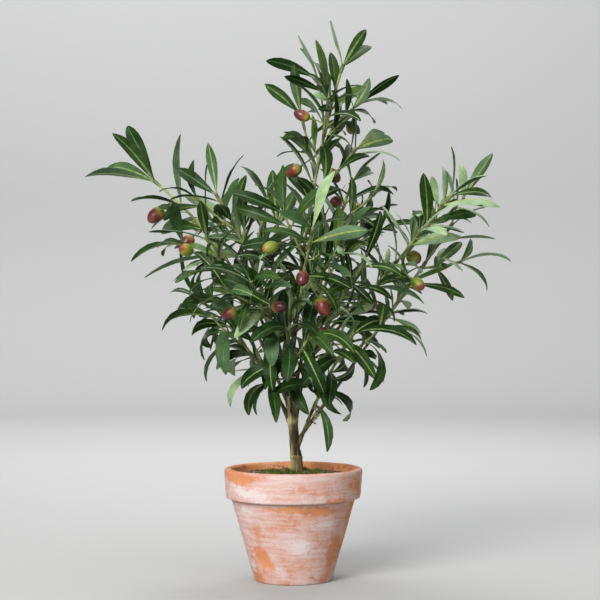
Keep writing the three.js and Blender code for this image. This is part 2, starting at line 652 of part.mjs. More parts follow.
function bough(spray, cutter) {
  const foot = spray.start === null ? LIMB.radius : LIMB.sideRadius;
  const radiusAt = (share) => foot * (1 - LIMB.thinning * share * spray.joint);
  const path = spray.bough.filter((_, i) => i % LIMB.boughEvery === 0);
  if (spray.start === null) {
    const seat = TRUNK.fork.z + CLEAR;
    return limbSolid([path[0].clone().setZ(seat), ...path.slice(1)], radiusAt, LIMB.boughSides, seat);
  }
  const whole = limbSolid(path, radiusAt, LIMB.boughSides);
  return toGeometry(toSolid(whole).subtract(cutter));
}

function foliage(spray) {
  const foot = spray.start === null ? LIMB.radius : LIMB.sideRadius;
  const stemR = (share) => foot * (1 - LIMB.thinning * (spray.joint + share * (1 - spray.joint)));
  const solids = spray.paths.map((path, i) => {
    const tangents = tangentsOf(path);
    const grown = [...path.slice(0, -1), at(path.at(-1), tangents.at(-1), LIMB.overrun)];
    if (i > 0) return limbSolid(grown, (share) => mixNumber(TWIG.footR, TWIG.tipR, share), TWIG.sides);
    grown[0] = at(path[0], tangents[0], CLEAR);
    return limbSolid(grown, stemR, LIMB.stemSides);
  });
  for (const olive of spray.fruit) {
    solids.push(limbSolid([olive.root, olive.centre], () => OLIVE.stalkR, TWIG.sides), oliveSolid(olive));
  }
  const built = spray.leaves.filter((leaf, i) => leaf.atTip || i % LEAF.every !== 0);
  return toGeometry(fuse([...solids, ...built.map(leafSolid)]));
}

growTwigs(SPRAYS);
growLeaves(SPRAYS, growOlives(SPRAYS));

addPiece('pot', pot(), 0xb9734d, 0.9);
addPiece('filling', filling(), 0x5b4433, 1);
addPiece('moss', moss(), 0x4f6a24, 1);
addPiece('trunk', trunk(0), 0x6a5334, 0.6);

const cutter = toSolid(trunk(CUT));
for (const spray of SPRAYS) {
  addPiece(`bough_${spray.name}`, bough(spray, cutter), 0x6d6a3a, 0.6);
  addPiece(`foliage_${spray.name}`, foliage(spray), 0x2f5537, 0.7);
}

export default tree;
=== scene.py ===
# Artificial olive tree in a whitewashed clay pot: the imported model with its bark, twigs, leaves,
# fruit, moss and clay. The growth is worked out in millimetres, and meshes are made in metres.
import math

import bpy
import numpy as np
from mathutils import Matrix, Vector, noise


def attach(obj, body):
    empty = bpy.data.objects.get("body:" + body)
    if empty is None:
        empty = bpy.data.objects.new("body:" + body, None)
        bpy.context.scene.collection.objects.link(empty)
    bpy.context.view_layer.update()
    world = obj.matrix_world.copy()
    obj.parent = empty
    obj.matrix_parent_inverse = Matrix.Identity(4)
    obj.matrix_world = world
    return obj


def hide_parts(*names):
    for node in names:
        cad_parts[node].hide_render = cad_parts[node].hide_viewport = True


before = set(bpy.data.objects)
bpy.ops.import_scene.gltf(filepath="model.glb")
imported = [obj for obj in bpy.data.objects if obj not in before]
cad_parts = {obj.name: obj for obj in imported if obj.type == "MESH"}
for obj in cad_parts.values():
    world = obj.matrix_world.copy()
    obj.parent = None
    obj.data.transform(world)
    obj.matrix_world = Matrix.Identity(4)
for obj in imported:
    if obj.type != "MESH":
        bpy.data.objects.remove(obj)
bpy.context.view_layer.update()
mm = 0.001
rad = math.radians
fullTurn = 2 * math.pi
up = np.array([0.0, 0.0, 1.0])
print("frame:", len(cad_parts), "nodes")


# Camera, lights and the pale floor

viewSettings = {"place": (0.0072, -1.8, 0.3015), "lens": 100, "sensor": 36, "nearest": 0.01}

stageSettings = {
    "radius": 2.7, "sweep": 0.6, "height": 1.0,   # of the floor, the curve at its edge, the wall
    "sides": 128, "steps": 12,
    "colour": (0.44, 0.445, 0.442), "roughness": 0.9, "grain": (300.0, 2.0), "bump": (0.05, 0.0002),
    "sky": (0.93, 0.95, 1.0), "skyStrength": 0.08,
}

# place, what it is aimed at, size, power, spread and colour of each
lightSettings = {
    "windowLight": ((-1.0, -2.0, 1.5), (0, 0, 0.28), 1.2, 24.7, 100, (1.0, 0.985, 0.96)),
    "fillLight": ((0.4, -1.4, 2.3), (0.4, -3.3, 0.3), 1.6, 30, 180, (0.95, 0.98, 1.0)),
    "topLight": ((0.1, 0.0, 2.1), (0, 0.2, 0.2), 1.6, 14, 180, (1.0, 1.0, 1.0)),
    "wallLight": ((-0.4, 1.3, 2.4), (0, 3.3, 0.4), 1.8, 83, 180, (1.0, 1.0, 1.0)),
    "backLight": ((1.1, 2.1, 1.9), (0, 0, 0.3), 1.2, 4.5, 100, (1.0, 1.0, 1.0)),
}


def makeCamera():
    bpy.ops.object.camera_add(location=viewSettings["place"], rotation=(math.pi / 2, 0, 0))
    camera = bpy.context.active_object
    camera.name = "camera"
    camera.data.lens = viewSettings["lens"]
    camera.data.sensor_width = viewSettings["sensor"]
    camera.data.clip_start = viewSettings["nearest"]
    bpy.context.scene.camera = camera


def makeLights():
    for name, (place, aim, size, power, spread, colour) in lightSettings.items():
        bpy.ops.object.light_add(type="AREA", location=place)
        light = bpy.context.active_object
        light.name = name
        light.data.size = size
        light.data.energy = power
        light.data.spread = rad(spread)
        light.data.color = colour
        light.rotation_euler = (Vector(aim) - Vector(place)).to_track_quat("-Z", "Y").to_euler()
    bpy.context.scene.view_settings.view_transform = "Standard"
    world = bpy.data.worlds.new("softWorld")
    bpy.context.scene.world = world
    world.use_nodes = True
    sky = world.node_tree.nodes["Background"]
    sky.inputs["Color"].default_value = (*stageSettings["sky"], 1)
    sky.inputs["Strength"].default_value = stageSettings["skyStrength"]


def makeStage():
    # one sheet: a round floor that sweeps up into a low wall, so every side has a plain background
    radius, sweep = stageSettings["radius"], stageSettings["sweep"]
    stage = startDisc("paleFloor", stageSettings["sides"], radius, (0, 0, 0))
    rings = [(radius, 0)]
    for step in range(1, stageSettings["steps"] + 1):
        turn = math.pi / 2 * step / stageSettings["steps"]
        rings.append((radius + sweep * math.sin(turn), sweep * (1 - math.cos(turn))))
    rings.append((rings[-1][0], rings[-1][1] + stageSettings["height"]))
    for vertex in stage.data.vertices:
        vertex.select = vertex.co.length > radius / 2
    for group in (stage.data.edges, stage.data.polygons):
        for part in group:
            part.select = all(stage.data.vertices[i].select for i in part.vertices)
    bpy.ops.object.mode_set(mode="EDIT")
    bpy.ops.mesh.select_mode(type="EDGE")
    for (before, low), (after, high) in zip(rings, rings[1:]):
        bpy.ops.mesh.extrude_edges_move(TRANSFORM_OT_translate={"value": (0, 0, high - low)})
        grow = after / before
        bpy.ops.transform.resize(value=(grow, grow, 1), center_override=(0, 0, high))
    bpy.ops.object.mode_set(mode="OBJECT")
    bpy.ops.object.shade_smooth()
    paint = Finish("palePaint", stageSettings["roughness"])
    paint.set("Base Color", stageSettings["colour"])
    paint.bump(paint.noise(*stageSettings["grain"]), *stageSettings["bump"])
    stage.data.materials.append(paint.material)


# Small helpers for materials, objects and meshes

noiseSpan = (0.3, 0.7)   # nearly all that a noise gives lies between


class Finish:
    # a material's nodes; a socket takes a value, a colour of three or what another node gives

    def __init__(self, name, roughness, specular=0.5):
        self.material = bpy.data.materials.new(name)
        self.material.use_nodes = True
        self.tree = self.material.node_tree
        self.shader = self.tree.nodes["Principled BSDF"]
        self.set("Roughness", roughness)
        self.set("Specular IOR Level", specular)

    def set(self, name, value, node=None):
        socket = (node or self.shader).inputs[name]
        if isinstance(value, bpy.types.NodeSocket):
            self.tree.links.new(value, socket)
        else:
            socket.default_value = (*value, 1) if socket.type == "RGBA" else value

    def add(self, kind, inputs=(), **settings):
        # inputs are pairs of a socket's name or number and what it takes
        node = self.tree.nodes.new("ShaderNode" + kind)
        for name, value in settings.items():
            setattr(node, name, value)
        for name, value in dict(inputs).items():
            self.set(name, value, node)
        return node.outputs

    def place(self):
        return self.add("TexCoord")["Object"]

    def noise(self, scale, detail=3.0, stretch=(1, 1, 1), roughness=0.5):
        # its scale is in features per metre
        mapped = self.add("Mapping", {"Vector": self.place(), "Scale": stretch})["Vector"]
        return self.add("TexNoise", {
            "Vector": mapped, "Scale": scale, "Detail": detail, "Roughness": roughness})["Fac"]

    def along(self):
        # the piece's own coordinates: along and round a stem, or along and across a leaf
        return self.split(self.add("UVMap", uv_map="along")["UV"])

    def split(self, vector):
        return self.add("SeparateXYZ", {"Vector": vector})

    def remap(self, value, low, high, toLow=0.0, toHigh=1.0, kind="SMOOTHSTEP"):
        return self.add("MapRange", {
            "Value": value, "From Min": low, "From Max": high, "To Min": toLow, "To Max": toHigh,
        }, interpolation_type=kind)["Result"]

    def calculate(self, operation, *values, **settings):
        return self.add("Math", enumerate(values), operation=operation, **settings)["Value"]

    def vectors(self, operation, *values):
        return self.add("VectorMath", enumerate(values), operation=operation)["Vector"]

    def distance(self, vector):
        return self.add("VectorMath", {0: vector}, operation="LENGTH")["Value"]

    def blend(self, factor, first, second):
        return self.add("Mix", {0: factor, 6: first, 7: second}, data_type="RGBA")[2]

    def ramp(self, factor, stops):
        # stops are pairs of a position from 0 to 1 and a colour
        colours = self.add("ValToRGB", {"Fac": factor})["Color"]
        elements = colours.node.color_ramp.elements
        while len(elements) < len(stops):
            elements.new(0.5)
        for element, (position, colour) in zip(elements, stops):
            element.position = position
            element.color = (*colour, 1)
        return colours

    def bump(self, height, strength, distance):
        # a second bump carries on from the first
        inputs = {"Height": height, "Strength": strength, "Distance": distance}
        for link in self.shader.inputs["Normal"].links:
            inputs["Normal"] = link.from_socket
        self.set("Normal", self.add("Bump", inputs)["Normal"])


def mottled(name, dark, light, roughness, specular, scale, detail=4.0, low=0.34, stretch=(1, 1, 1)):
    # two tones mixed by a noise
    finish = Finish(name, roughness, specular)
    tone = finish.remap(finish.noise(scale, detail, stretch), low, 1 - low)
    finish.set("Base Color", finish.blend(tone, dark, light))
    return finish


def seat(piece, slotName, *nodes):
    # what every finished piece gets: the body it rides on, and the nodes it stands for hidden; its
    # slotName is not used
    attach(piece, "root")
    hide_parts(*nodes)


def newParts():
    return {"points": [], "faces": [], "slots": [], "marks": []}


def addPart(parts, points, faces, slots, marks=None):
    # slots are one number, or one for each face; marks are a pair of numbers for each point
    shift = len(parts["points"])
    parts["points"].extend(points)
    parts["faces"].extend(tuple(i + shift for i in face) for face in faces)
    parts["slots"].extend([slots] * len(faces) if isinstance(slots, int) else slots)
    parts["marks"].extend(marks or [(0, 0)] * len(points))


def joinParts(name, parts, materials, crease=60):
    mesh = bpy.data.meshes.new(name)
    points = [tuple(np.asarray(point) * mm) for point in parts["points"]]
    mesh.from_pydata(points, [], parts["faces"])
    for material in materials:
        mesh.materials.append(material)
    mesh.polygons.foreach_set("material_index", parts["slots"])
    layer = mesh.uv_layers.new(name="along")
    corners = np.zeros(len(mesh.loops), np.int32)
    mesh.loops.foreach_get("vertex_index", corners)
    layer.data.foreach_set("uv", np.array(parts["marks"], np.float32)[corners].ravel())
    piece = bpy.data.objects.new(name, mesh)
    bpy.context.collection.objects.link(piece)
    bpy.ops.object.select_all(action="DESELECT")
    bpy.context.view_layer.objects.active = piece
    piece.select_set(True)
    bpy.ops.object.shade_smooth_by_angle(angle=rad(crease))
    return piece


def startDisc(name, sides, radius, place, fill="TRIFAN"):
    bpy.ops.object.select_all(action="DESELECT")
    bpy.ops.mesh.primitive_circle_add(vertices=sides, radius=radius, fill_type=fill, location=place)
    piece = bpy.context.active_object
    piece.name = name
    bpy.ops.object.transform_apply(location=True, rotation=True, scale=True)
    return piece


def turnSolid(name, rings, sides, fill="TRIFAN", finish=None):
    # a disc extruded along rings of (radius, centre) in mm, as on a potter's wheel
    radius, centre = rings[0]
    piece = startDisc(name, sides, radius * mm, tuple(centre * mm), fill)
    bpy.ops.object.mode_set(mode="EDIT")
    bpy.ops.mesh.select_mode(type="FACE")
    bpy.ops.mesh.select_all(action="SELECT")
    for nextRadius, nextCentre in rings[1:]:
        step = tuple((nextCentre - centre) * mm)
        bpy.ops.mesh.extrude_region_move(TRANSFORM_OT_translate={"value": step})
        grow = nextRadius / radius
        bpy.ops.transform.resize(value=(grow, grow, 1), center_override=tuple(nextCentre * mm))
        radius, centre = nextRadius, nextCentre
    if finish:
        finish()
    bpy.ops.mesh.select_all(action="SELECT")
    bpy.ops.mesh.normals_make_consistent(inside=False)
    bpy.ops.object.mode_set(mode="OBJECT")
    return piece


def relieve(piece, rule, crease, material):
    # moves each point along its normal by what rule gives for its place in mm, and dresses it
    mesh = piece.data
    normals = [vertex.normal.copy() for vertex in mesh.vertices]
    for vertex, normal in zip(mesh.vertices, normals):
        vertex.co += normal * rule(vertex.co / mm, normal) * mm
    mesh.update()
    bpy.ops.object.shade_smooth_by_angle(angle=rad(crease))
    mesh.materials.append(material)


def roundCorners(corners, steps, longest):
    # rings from (r, z, radius) corners, with each corner rounded and long stretches divided
    path = []
    for i, (r, z, radius) in enumerate(corners):
        here = np.array([r, z], float)
        if radius == 0:
            path.append(here)
            continue
        before = np.array(corners[i - 1][:2]) - here
        after = np.array(corners[i + 1][:2]) - here
        start = here + before / np.linalg.norm(before) * radius
        end = here + after / np.linalg.norm(after) * radius
        path += [start * (1 - t) ** 2 + here * 2 * t * (1 - t) + end * t * t
                 for t in np.arange(steps + 1) / steps]
    finer = [path[0]]
    for point in path[1:]:
        foot = finer[-1]
        parts = max(1, math.ceil(np.linalg.norm(point - foot) / longest))
        finer.extend(foot + (point - foot) * k / parts for k in range(1, parts + 1))
    return [(float(r), up * float(z)) for r, z in finer]


# The growing rule. It is the one that made the solids, so each leaf stands where its solid does.

trunkShape = {
    "foot": np.array([4.2, 0, 112.8]), "fork": np.array([-4.7, 0, 219.0]),
    "waist": 5.4, "flare": 1.9, "flareRise": 9, "tape": 1.2, "tapeFrom": 178, "tapeTo": 196,
    "joints": [(133, 0.7, 2.4), (172, 0.9, 4.5)],   # height, swell, spread
}

limbShape = {
    "ringR": 4.4, "sideRoot": 3.6, "radius": 1.9, "sideRadius": 2.05, "thinning": 0.48,
    "boughSteps": 10, "stemSteps": 8,
}

twigShape = {
    "steps": 4, "footR": 1.25, "tipR": 0.85, "first": 0.12, "spread": 0.66, "step": (0.6, 1.4),
    "opening": (34, 52), "length": (0.75, 1.2), "longest": 1.1, "shortening": 0.35,
    "lift": (0.05, 0.3), "golden": 137.5, "jitter": 20, "bend": 0.55,
    "fromLimb": 8, "fromTrunk": 14, "fromStem": 9, "fromTwig": 6,
}

oliveShape = {
    "halfLength": 10, "halfWidth": 7.75, "guardR": 8.8, "stalk": (14, 24), "neck": 9, "tries": 6,
    "place": (0.25, 0.8), "out": (0.3, 1), "drop": (0.2, 1.2), "size": (0.9, 1.08),
    "forward": 0.3, "weight": 0.6, "fromLimb": 13.5, "fromTrunk": 19, "fromTwig": 12, "apart": 18.5,
    "stalkFoot": 4, "stalkGap": 4, "seeds": 500,
}

leafShape = {
    "stations": (0, 0.35, 0.7, 1), "neck": 0.4, "rootHalf": 0.05, "leastHalf": 0.05,
    "bulge": 1.22, "fullness": 0.8, "curl": 1.15, "along": 0.45, "up": 0.6, "out": 0.4,
    "firstOnStem": 6, "firstOnTwig": 15, "lastGap": 7, "tipOpening": 31, "closing": 14,
    "widest": 88, "onTwig": 0.94, "atTip": 0.98, "twigTips": 3, "lost": 0.06,
    "turn": (-18, 18), "open": (-9, 9), "length": (0.8, 1.14), "width": (0.225, 0.275),
    "roll": (-55, 55), "droop": (0.6, 1.25), "upright": 0.05, "guard": 0.8, "hover": 2.2,
    "slack": 0.02, "mingle": 14, "ownGap": 2.5, "twigGap": 3.4, "limbGap": 4.6, "trunkGap": 10,
    "stalkGap": 3, "oliveGap": 1.5, "nearby": 0.58, "seeds": 900,
}

# a turn round the twig, a wider opening and a roll, tried in turn where a place is taken
leafTries = [
    (0, 0, 0), (22, 0, 0), (-22, 0, 0), (0, 16, 0), (45, 0, 0), (-45, 0, 0),
    (22, 20, 20), (-22, 20, -20), (70, 8, 0), (-70, 8, 0),
]

rimGuard = {"z": 128, "r": 85}

# short shoots with small leaves, which the solids leave out, and the gaps that those keep
shootShape = {
    "first": 12, "gap": (46, 68), "length": (9, 19), "opening": (34, 62), "lift": (0.05, 0.3),
    "footR": 0.9, "tipR": 0.6, "leaf": (27, 42), "wide": 1.16, "tips": 3, "droop": (20, 62),
    "leafOpening": (26, 58), "seeds": 1300, "fromPath": 5, "fromOlive": 10,
}
smallGaps = dict(leafShape, hover=1.1, ownGap=0.8, twigGap=2.0, limbGap=3.2, stalkGap=1.5,
                 oliveGap=0.8, guard=0.3, mingle=10)

# Each main bough with its spray. One from the fork has its turn round it in ring (below 0 for the
# middle one), and one from the trunk's side the height that it starts at.
sprayColumns = ("name", "ring", "start", "bearing", "reach", "height", "bow", "joint", "twigs",
                "twigLength", "opening", "tips", "leaf", "droop", "gap", "olives", "seeds")
sprays = [dict(zip(sprayColumns, row)) for row in [
    ("top", -1, None, -3, 58, 553, 0.3, 0.4, 5, 48, 46, 3, 60, 50, 21, 4, (30, 41, 15)),
    ("left_arm", 180, None, 176, 146, 430, 0.3, 0.52, 0, 46, 54, 4, 86, 36, 36, 3, (1, 53, 64)),
    ("right_arm", 0, None, -6, 174, 413, -0.05, 0.52, 2, 46, 56, 3, 64, 45, 26, 1, (23, 24, 8)),
    ("centre_front", 300, None, 283, 108, 372, 0.2, 0.38, 2, 46, 56, 3, 60, 60, 22, 3, (27, 37, 20)),
    ("crown_left", 240, None, 205, 84, 412, 0.25, 0.4, 2, 46, 56, 3, 60, 50, 26, 1, (30, 39, 18)),
    ("back_left", 120, None, 125, 112, 392, 0.15, 0.42, 2, 46, 56, 3, 60, 50, 27, 1, (22, 31, 20)),
    ("back_right", 60, None, 50, 118, 388, 0.15, 0.42, 2, 46, 56, 3, 60, 50, 27, 1, (20, 29, 4)),
    ("upper_centre", None, 199, 27, 76, 432, 0.12, 0.45, 2, 46, 56, 3, 60, 50, 24, 2, (9, 38, 8)),
    ("front_left", None, 197, 246, 95, 318, 0.1, 0.4, 2, 46, 56, 3, 62, 75, 22, 2, (20, 36, 5)),
    ("centre_right", None, 190, -42, 98, 335, 0.15, 0.4, 2, 46, 56, 3, 62, 65, 23, 1, (8, 51, 30)),
    ("left_mid", None, 188, 208, 100, 365, 0.1, 0.48, 2, 46, 56, 3, 62, 50, 24, 1, (20, 50, 9)),
    ("lower_front", None, 180, 266, 66, 270, 0.1, 0.34, 2, 46, 68, 3, 64, 95, 22, 0, (8, 1, 28)),
    ("lower_left", None, 174, 188, 66, 272, 0.1, 0.3, 2, 46, 70, 3, 70, 98, 19, 0, (23, 1, 34)),
    ("lower_back_left", None, 166, 142, 100, 312, 0.1, 0.4, 2, 46, 56, 3, 62, 80, 27, 1, (5, 1, 4)),
    ("lower_back_right", None, 158, 75, 100, 300, 0.1, 0.4, 2, 46, 56, 3, 62, 80, 27, 1, (5, 29, 18)),
    ("right_arm_low", None, 150, 6, 172, 383, -0.02, 0.52, 2, 46, 56, 3, 62, 45, 27, 2, (13, 42, 5)),
    ("lower_right", None, 141, -45, 86, 266, 0.15, 0.32, 2, 46, 70, 3, 70, 98, 20, 1, (23, 29, 13)),
]]


def mix(first, second, share):
    return first + (second - first) * share


def unit(vector):
    return vector / math.sqrt(float(vector @ vector))


def level(angle):
    # the level direction at an angle
    return np.array([math.cos(angle), math.sin(angle), 0.0])


def turned(vector, axis, angle):
    cosine, sine = math.cos(angle), math.sin(angle)
    lengthwise = axis * float(axis @ vector) * (1 - cosine)
    return vector * cosine + np.cross(axis, vector) * sine + lengthwise


def makeRandom(seed):
    # a small generator of its own, so that a seed always gives the same tree; it runs on primes
    limit, spread, first, factor = 2147483647, 7919, 104729, 48271
    state = (seed * spread + first) % limit

    def draw(low=0, high=1):
        nonlocal state
        state = state * factor % limit
        return low + (high - low) * state / limit

    draw()
    draw()
    return draw


def segmentsOf(paths):
    return np.array([[path[i], path[i + 1]] for path in paths for i in range(len(path) - 1)])


def stepsOf(path):
    return [float(np.linalg.norm(path[i + 1] - path[i])) for i in range(len(path) - 1)]


def gapsTo(points, segments):
    # the distance of each point from each segment
    along = segments[:, 1] - segments[:, 0]
    offset = np.asarray(points)[:, None] - segments[None, :, 0]
    share = np.clip((offset * along).sum(-1) / (along * along).sum(-1), 0, 1)
    return np.linalg.norm(offset - along * share[..., None], axis=-1)


def between(segments, others):
    shares = (0, 0.25, 0.5, 0.75, 1)
    points = [mix(segments[:, 0], segments[:, 1], share) for share in shares]
    return gapsTo(np.concatenate(points), others).min()


def crossing(edges, faces):
    parallel = 1e-9
    way = (edges[:, 1] - edges[:, 0])[:, None]
    side1 = (faces[:, 1] - faces[:, 0])[None]
    side2 = (faces[:, 2] - faces[:, 0])[None]
    normal = np.cross(way, side2)
    scale = (side1 * normal).sum(-1)
    scale = np.where(np.abs(scale) < parallel, parallel, scale)
    offset = edges[:, 0][:, None] - faces[None, :, 0]
    lean = np.cross(offset, side1)
    u, v, t = ((first * second).sum(-1) / scale
               for first, second in ((offset, normal), (way, lean), (side2, lean)))
    return bool(((u > 0) & (v > 0) & (u + v < 1) & (t > 0) & (t < 1)).any())


def hovering(points, faces, near):
    # whether a point lies close over or under a face
    side1 = faces[:, 1] - faces[:, 0]
    side2 = faces[:, 2] - faces[:, 0]
    normal = np.cross(side1, side2)
    area = np.linalg.norm(normal, axis=1)
    normal = (normal / area[:, None])[None]
    offset = points[:, None] - faces[None, :, 0]
    height = (offset * normal).sum(-1)
    u = (np.cross(offset, side2[None]) * normal).sum(-1) / area
    v = (np.cross(side1[None], offset) * normal).sum(-1) / area
    slack = leafShape["slack"]
    over = (u > -slack) & (v > -slack) & (u + v < 1 + slack)
    return bool((over & (np.abs(height) < near)).any())


def trunkPoint(z):
    foot, fork = trunkShape["foot"], trunkShape["fork"]
    return mix(foot, fork, (z - foot[2]) / (fork[2] - foot[2]))


def trunkRadius(z):
    low, high = trunkShape["tapeFrom"], trunkShape["tapeTo"]
    rise = min(1, max(0, (z - low) / (high - low)))
    flare = trunkShape["flare"] * math.exp((trunkShape["foot"][2] - z) / trunkShape["flareRise"])
    tape = trunkShape["tape"] * rise * rise * (3 - 2 * rise)
    swells = [swell * math.exp(-((z - height) / spread) ** 2)
              for height, swell, spread in trunkShape["joints"]]
    return trunkShape["waist"] + flare + tape + sum(swells)


def bezier(curve, t):
    return curve[0] * (1 - t) ** 2 + curve[1] * (2 * t * (1 - t)) + curve[2] * t * t


def pathOf(curve, start, end, steps):
    return [bezier(curve, mix(start, end, i / steps)) for i in range(steps + 1)]


def tangentsOf(path):
    last = len(path) - 1
    return [unit(path[min(last, i + 1)] - path[max(0, i - 1)]) for i in range(last + 1)]


def across(tangent, angle):
    # a direction square to the tangent, turned by an angle round it
    steep = 0.94
    u = unit(np.cross(tangent, up if abs(tangent[2]) < steep else level(0)))
    return u * math.cos(angle) + np.cross(tangent, u) * math.sin(angle)


def limbCurve(spray):
    out = level(rad(spray["bearing"]))
    axis = trunkPoint(spray["start"]) if spray["start"] else trunkShape["fork"]
    root = axis
    if spray["start"]:
        root = axis + out * limbShape["sideRoot"]
    elif spray["ring"] >= 0:
        root = axis + level(rad(spray["ring"])) * limbShape["ringR"]
    tip = axis + out * spray["reach"]
    tip[2] = spray["height"]
    flat = (tip - root) * np.array([1, 1, 0])
    middle = mix(root, tip, 0.5) - flat * 0.5 * spray["bow"]
    middle[2] += (spray["height"] - root[2]) * 0.5 * spray["bow"]
    return root, middle, tip


def twigPath(root, tangent, spin, opening, length, lift):
    way = unit(tangent * math.cos(opening) + across(tangent, spin) * math.sin(opening))
    tip = root + way * length + up * (length * lift)
    return pathOf((root, root + way * length * twigShape["bend"], tip), 0, 1, twigShape["steps"])


def sideTwigs(spray):
    draw = makeRandom(spray["seeds"][0])
    count, curve = spray["twigs"], spray["curve"]
    step = 0.01
    spin = draw(0, fullTurn)
    twigs = []
    for i in range(count):
        place = i + 0.5 * draw(*twigShape["step"])
        share = twigShape["first"] + twigShape["spread"] * place / count
        t = mix(spray["joint"], 1, share)
        tangent = unit(bezier(curve, min(1, t + step)) - bezier(curve, t - step))
        spin += rad(twigShape["golden"]) + rad(draw(-twigShape["jitter"], twigShape["jitter"]))
        opening = rad(draw(*twigShape["opening"]))
        longest = twigShape["longest"] - twigShape["shortening"] * i / count
        length = spray["twigLength"] * draw(*twigShape["length"]) * longest
        lift = draw(*twigShape["lift"])
        twigs.append(twigPath(bezier(curve, t), tangent, spin, opening, length, lift))
    return twigs


def growTwigs():
    # side twigs spiral up each stem, and one that comes near a limb or another twig is left out
    for spray in sprays:
        spray["curve"] = limbCurve(spray)
        spray["bough"] = pathOf(spray["curve"], 0, spray["joint"], limbShape["boughSteps"])
        spray["stem"] = pathOf(spray["curve"], spray["joint"], 1, limbShape["stemSteps"])
    trunk = segmentsOf([[trunkShape["foot"], trunkShape["fork"]]])
    boughs = segmentsOf([spray["bough"] for spray in sprays])
    kept = []
    for spray in sprays:
        stems = segmentsOf([other["stem"] for other in sprays if other is not spray])
        spray["paths"] = [spray["stem"]]
        for path in sideTwigs(spray):
            whole, outer = segmentsOf([path]), segmentsOf([path[1:]])
            near = [(whole, stems, "fromStem"), *((whole, twig, "fromTwig") for twig in kept)]
            near += [(outer, boughs, "fromLimb"), (outer, trunk, "fromTrunk")]
            if all(between(own, other) >= twigShape[gap] for own, other, gap in near):
                kept.append(whole)
                spray["paths"].append(path)
    return {"trunk": trunk, "boughs": boughs, "olives": [], "crowd": []}


def growOlives(tree):
    # olives hang on stalks from the stems and twigs, where there is room for them
    for spray in sprays:
        draw = makeRandom(spray["seeds"][1] + oliveShape["seeds"])
        others = [segmentsOf(other["paths"]) for other in sprays if other is not spray]
        own = segmentsOf(spray["paths"])
        spray["fruit"] = []
        for k in range(oliveShape["tries"]):
            path = spray["paths"][k % len(spray["paths"])]
            share, angle = draw(*oliveShape["place"]), draw(0, fullTurn)
            out, drop, size, stalk = (
                draw(*oliveShape[name]) for name in ("out", "drop", "size", "stalk"))
            if len(spray["fruit"]) >= spray["olives"]:
                continue
            i = min(int(share * (len(path) - 1)), len(path) - 2)
            root = path[i]
            tangent = unit(path[i + 1] - root)
            axis = across(tangent, angle) * out + tangent * oliveShape["forward"]
            axis = unit(axis - up * (oliveShape["weight"] * drop))
            centre = root + axis * (stalk + oliveShape["neck"])
            line = np.array([[root + axis * oliveShape["stalkFoot"], centre]])
            olive = {"root": root, "centre": centre, "axis": axis, "size": size, "line": line}
            if oliveHasRoom(olive, tree, own, others):
                spray["fruit"].append(olive)
                tree["olives"].append(olive)


def oliveHasRoom(olive, tree, own, others):
    centre, line = olive["centre"], olive["line"]
    gaps = [("fromLimb", gapsTo([centre], tree["boughs"]).min()),
            ("fromTrunk", gapsTo([centre], tree["trunk"]).min())]
    gaps += [("fromTwig", gapsTo([centre], paths).min()) for paths in [own, *others]]
    gaps += [("stalkGap", between(line, paths)) for paths in others]
    for other in tree["olives"]:
        gaps += [("apart", np.linalg.norm(centre - other["centre"])),
                 ("fromTwig", gapsTo([other["centre"]], line).min()),
                 ("fromTwig", gapsTo([centre], other["line"]).min()),
                 ("stalkGap", between(line, other["line"]))]
    return all(gap >= oliveShape[name] for name, gap in gaps)


def leafHalf(share):
    # half the width at a share of the length, over the greatest half width
    if share <= 0:
        return leafShape["rootHalf"]
    if share >= 1:
        return 0.0
    half = math.sin(math.pi * share ** leafShape["bulge"]) ** leafShape["fullness"]
    return max(leafShape["leastHalf"], half)


def leafWay(leaf, share):
    # the way that a leaf points at a share of its length, as it bends away from its upper face
    angle = leaf["droop"] * share ** leafShape["curl"]
    return leaf["heading"] * math.cos(angle) - leaf["face"] * math.sin(angle)


def leafSpine(leaf, stations, way=leafWay):
    # points along a leaf from its root, at shares of its length
    spine, before = [leaf["root"]], 0
    for share in stations:
        step = leaf["length"] * (share - before)
        spine.append(spine[-1] + way(leaf, (before + share) / 2) * step)
        before = share
    return spine


def makeLeaf(place, shape, radial, opening, roll, droop):
    root, tangent = place["root"], place["tangent"]
    heading = unit(tangent * math.cos(opening) + radial * math.sin(opening))
    outward = np.array([root[0] - trunkShape["fork"][0], root[1], 0.0])
    outward = outward / max(math.hypot(outward[0], outward[1]), 1.0)
    face = tangent * leafShape["along"] + up * leafShape["up"] + outward * leafShape["out"]
    face = turned(unit(face - heading * float(face @ heading)), heading, roll)
    leaf = {"root": root, "heading": heading, "face": face, "side": unit(np.cross(heading, face)),
            "length": shape["length"], "width": shape["width"], "droop": droop}
    leaf["spine"] = leafSpine(leaf, leafShape["stations"][1:])
    return leaf


def ribbonOf(leaf, guard):
    # the blade as a thin ribbon, a little larger than it is, for keeping leaves apart
    neck, spine = leafShape["neck"], leaf["spine"]
    halves = [leafHalf(share) for share in leafShape["stations"]]
    middles = [mix(spine[0], spine[1], neck)] + spine[1:]
    halves[0] = mix(halves[0], halves[1], neck)
    reach = [leaf["width"] / 2 * half + guard for half in halves]
    left = [point + leaf["side"] * size for point, size in zip(middles, reach)]
    right = [point - leaf["side"] * size for point, size in zip(middles, reach)]
    faces, edges = [], [(left[0], right[0])]
    for l0, r0, l1, r1 in zip(left, right, left[1:], right[1:]):
        faces += [(l0, r0, r1), (l0, r1, l1)]
        edges += [(l0, l1), (r0, r1), (l1, r1), (l0, r1)]
    return {"faces": np.array(faces), "edges": np.array(edges),
            "points": np.array(left + right + middles),
            "centre": mix(spine[1], spine[2], 0.5), "radius": leaf["length"] * leafShape["nearby"]}


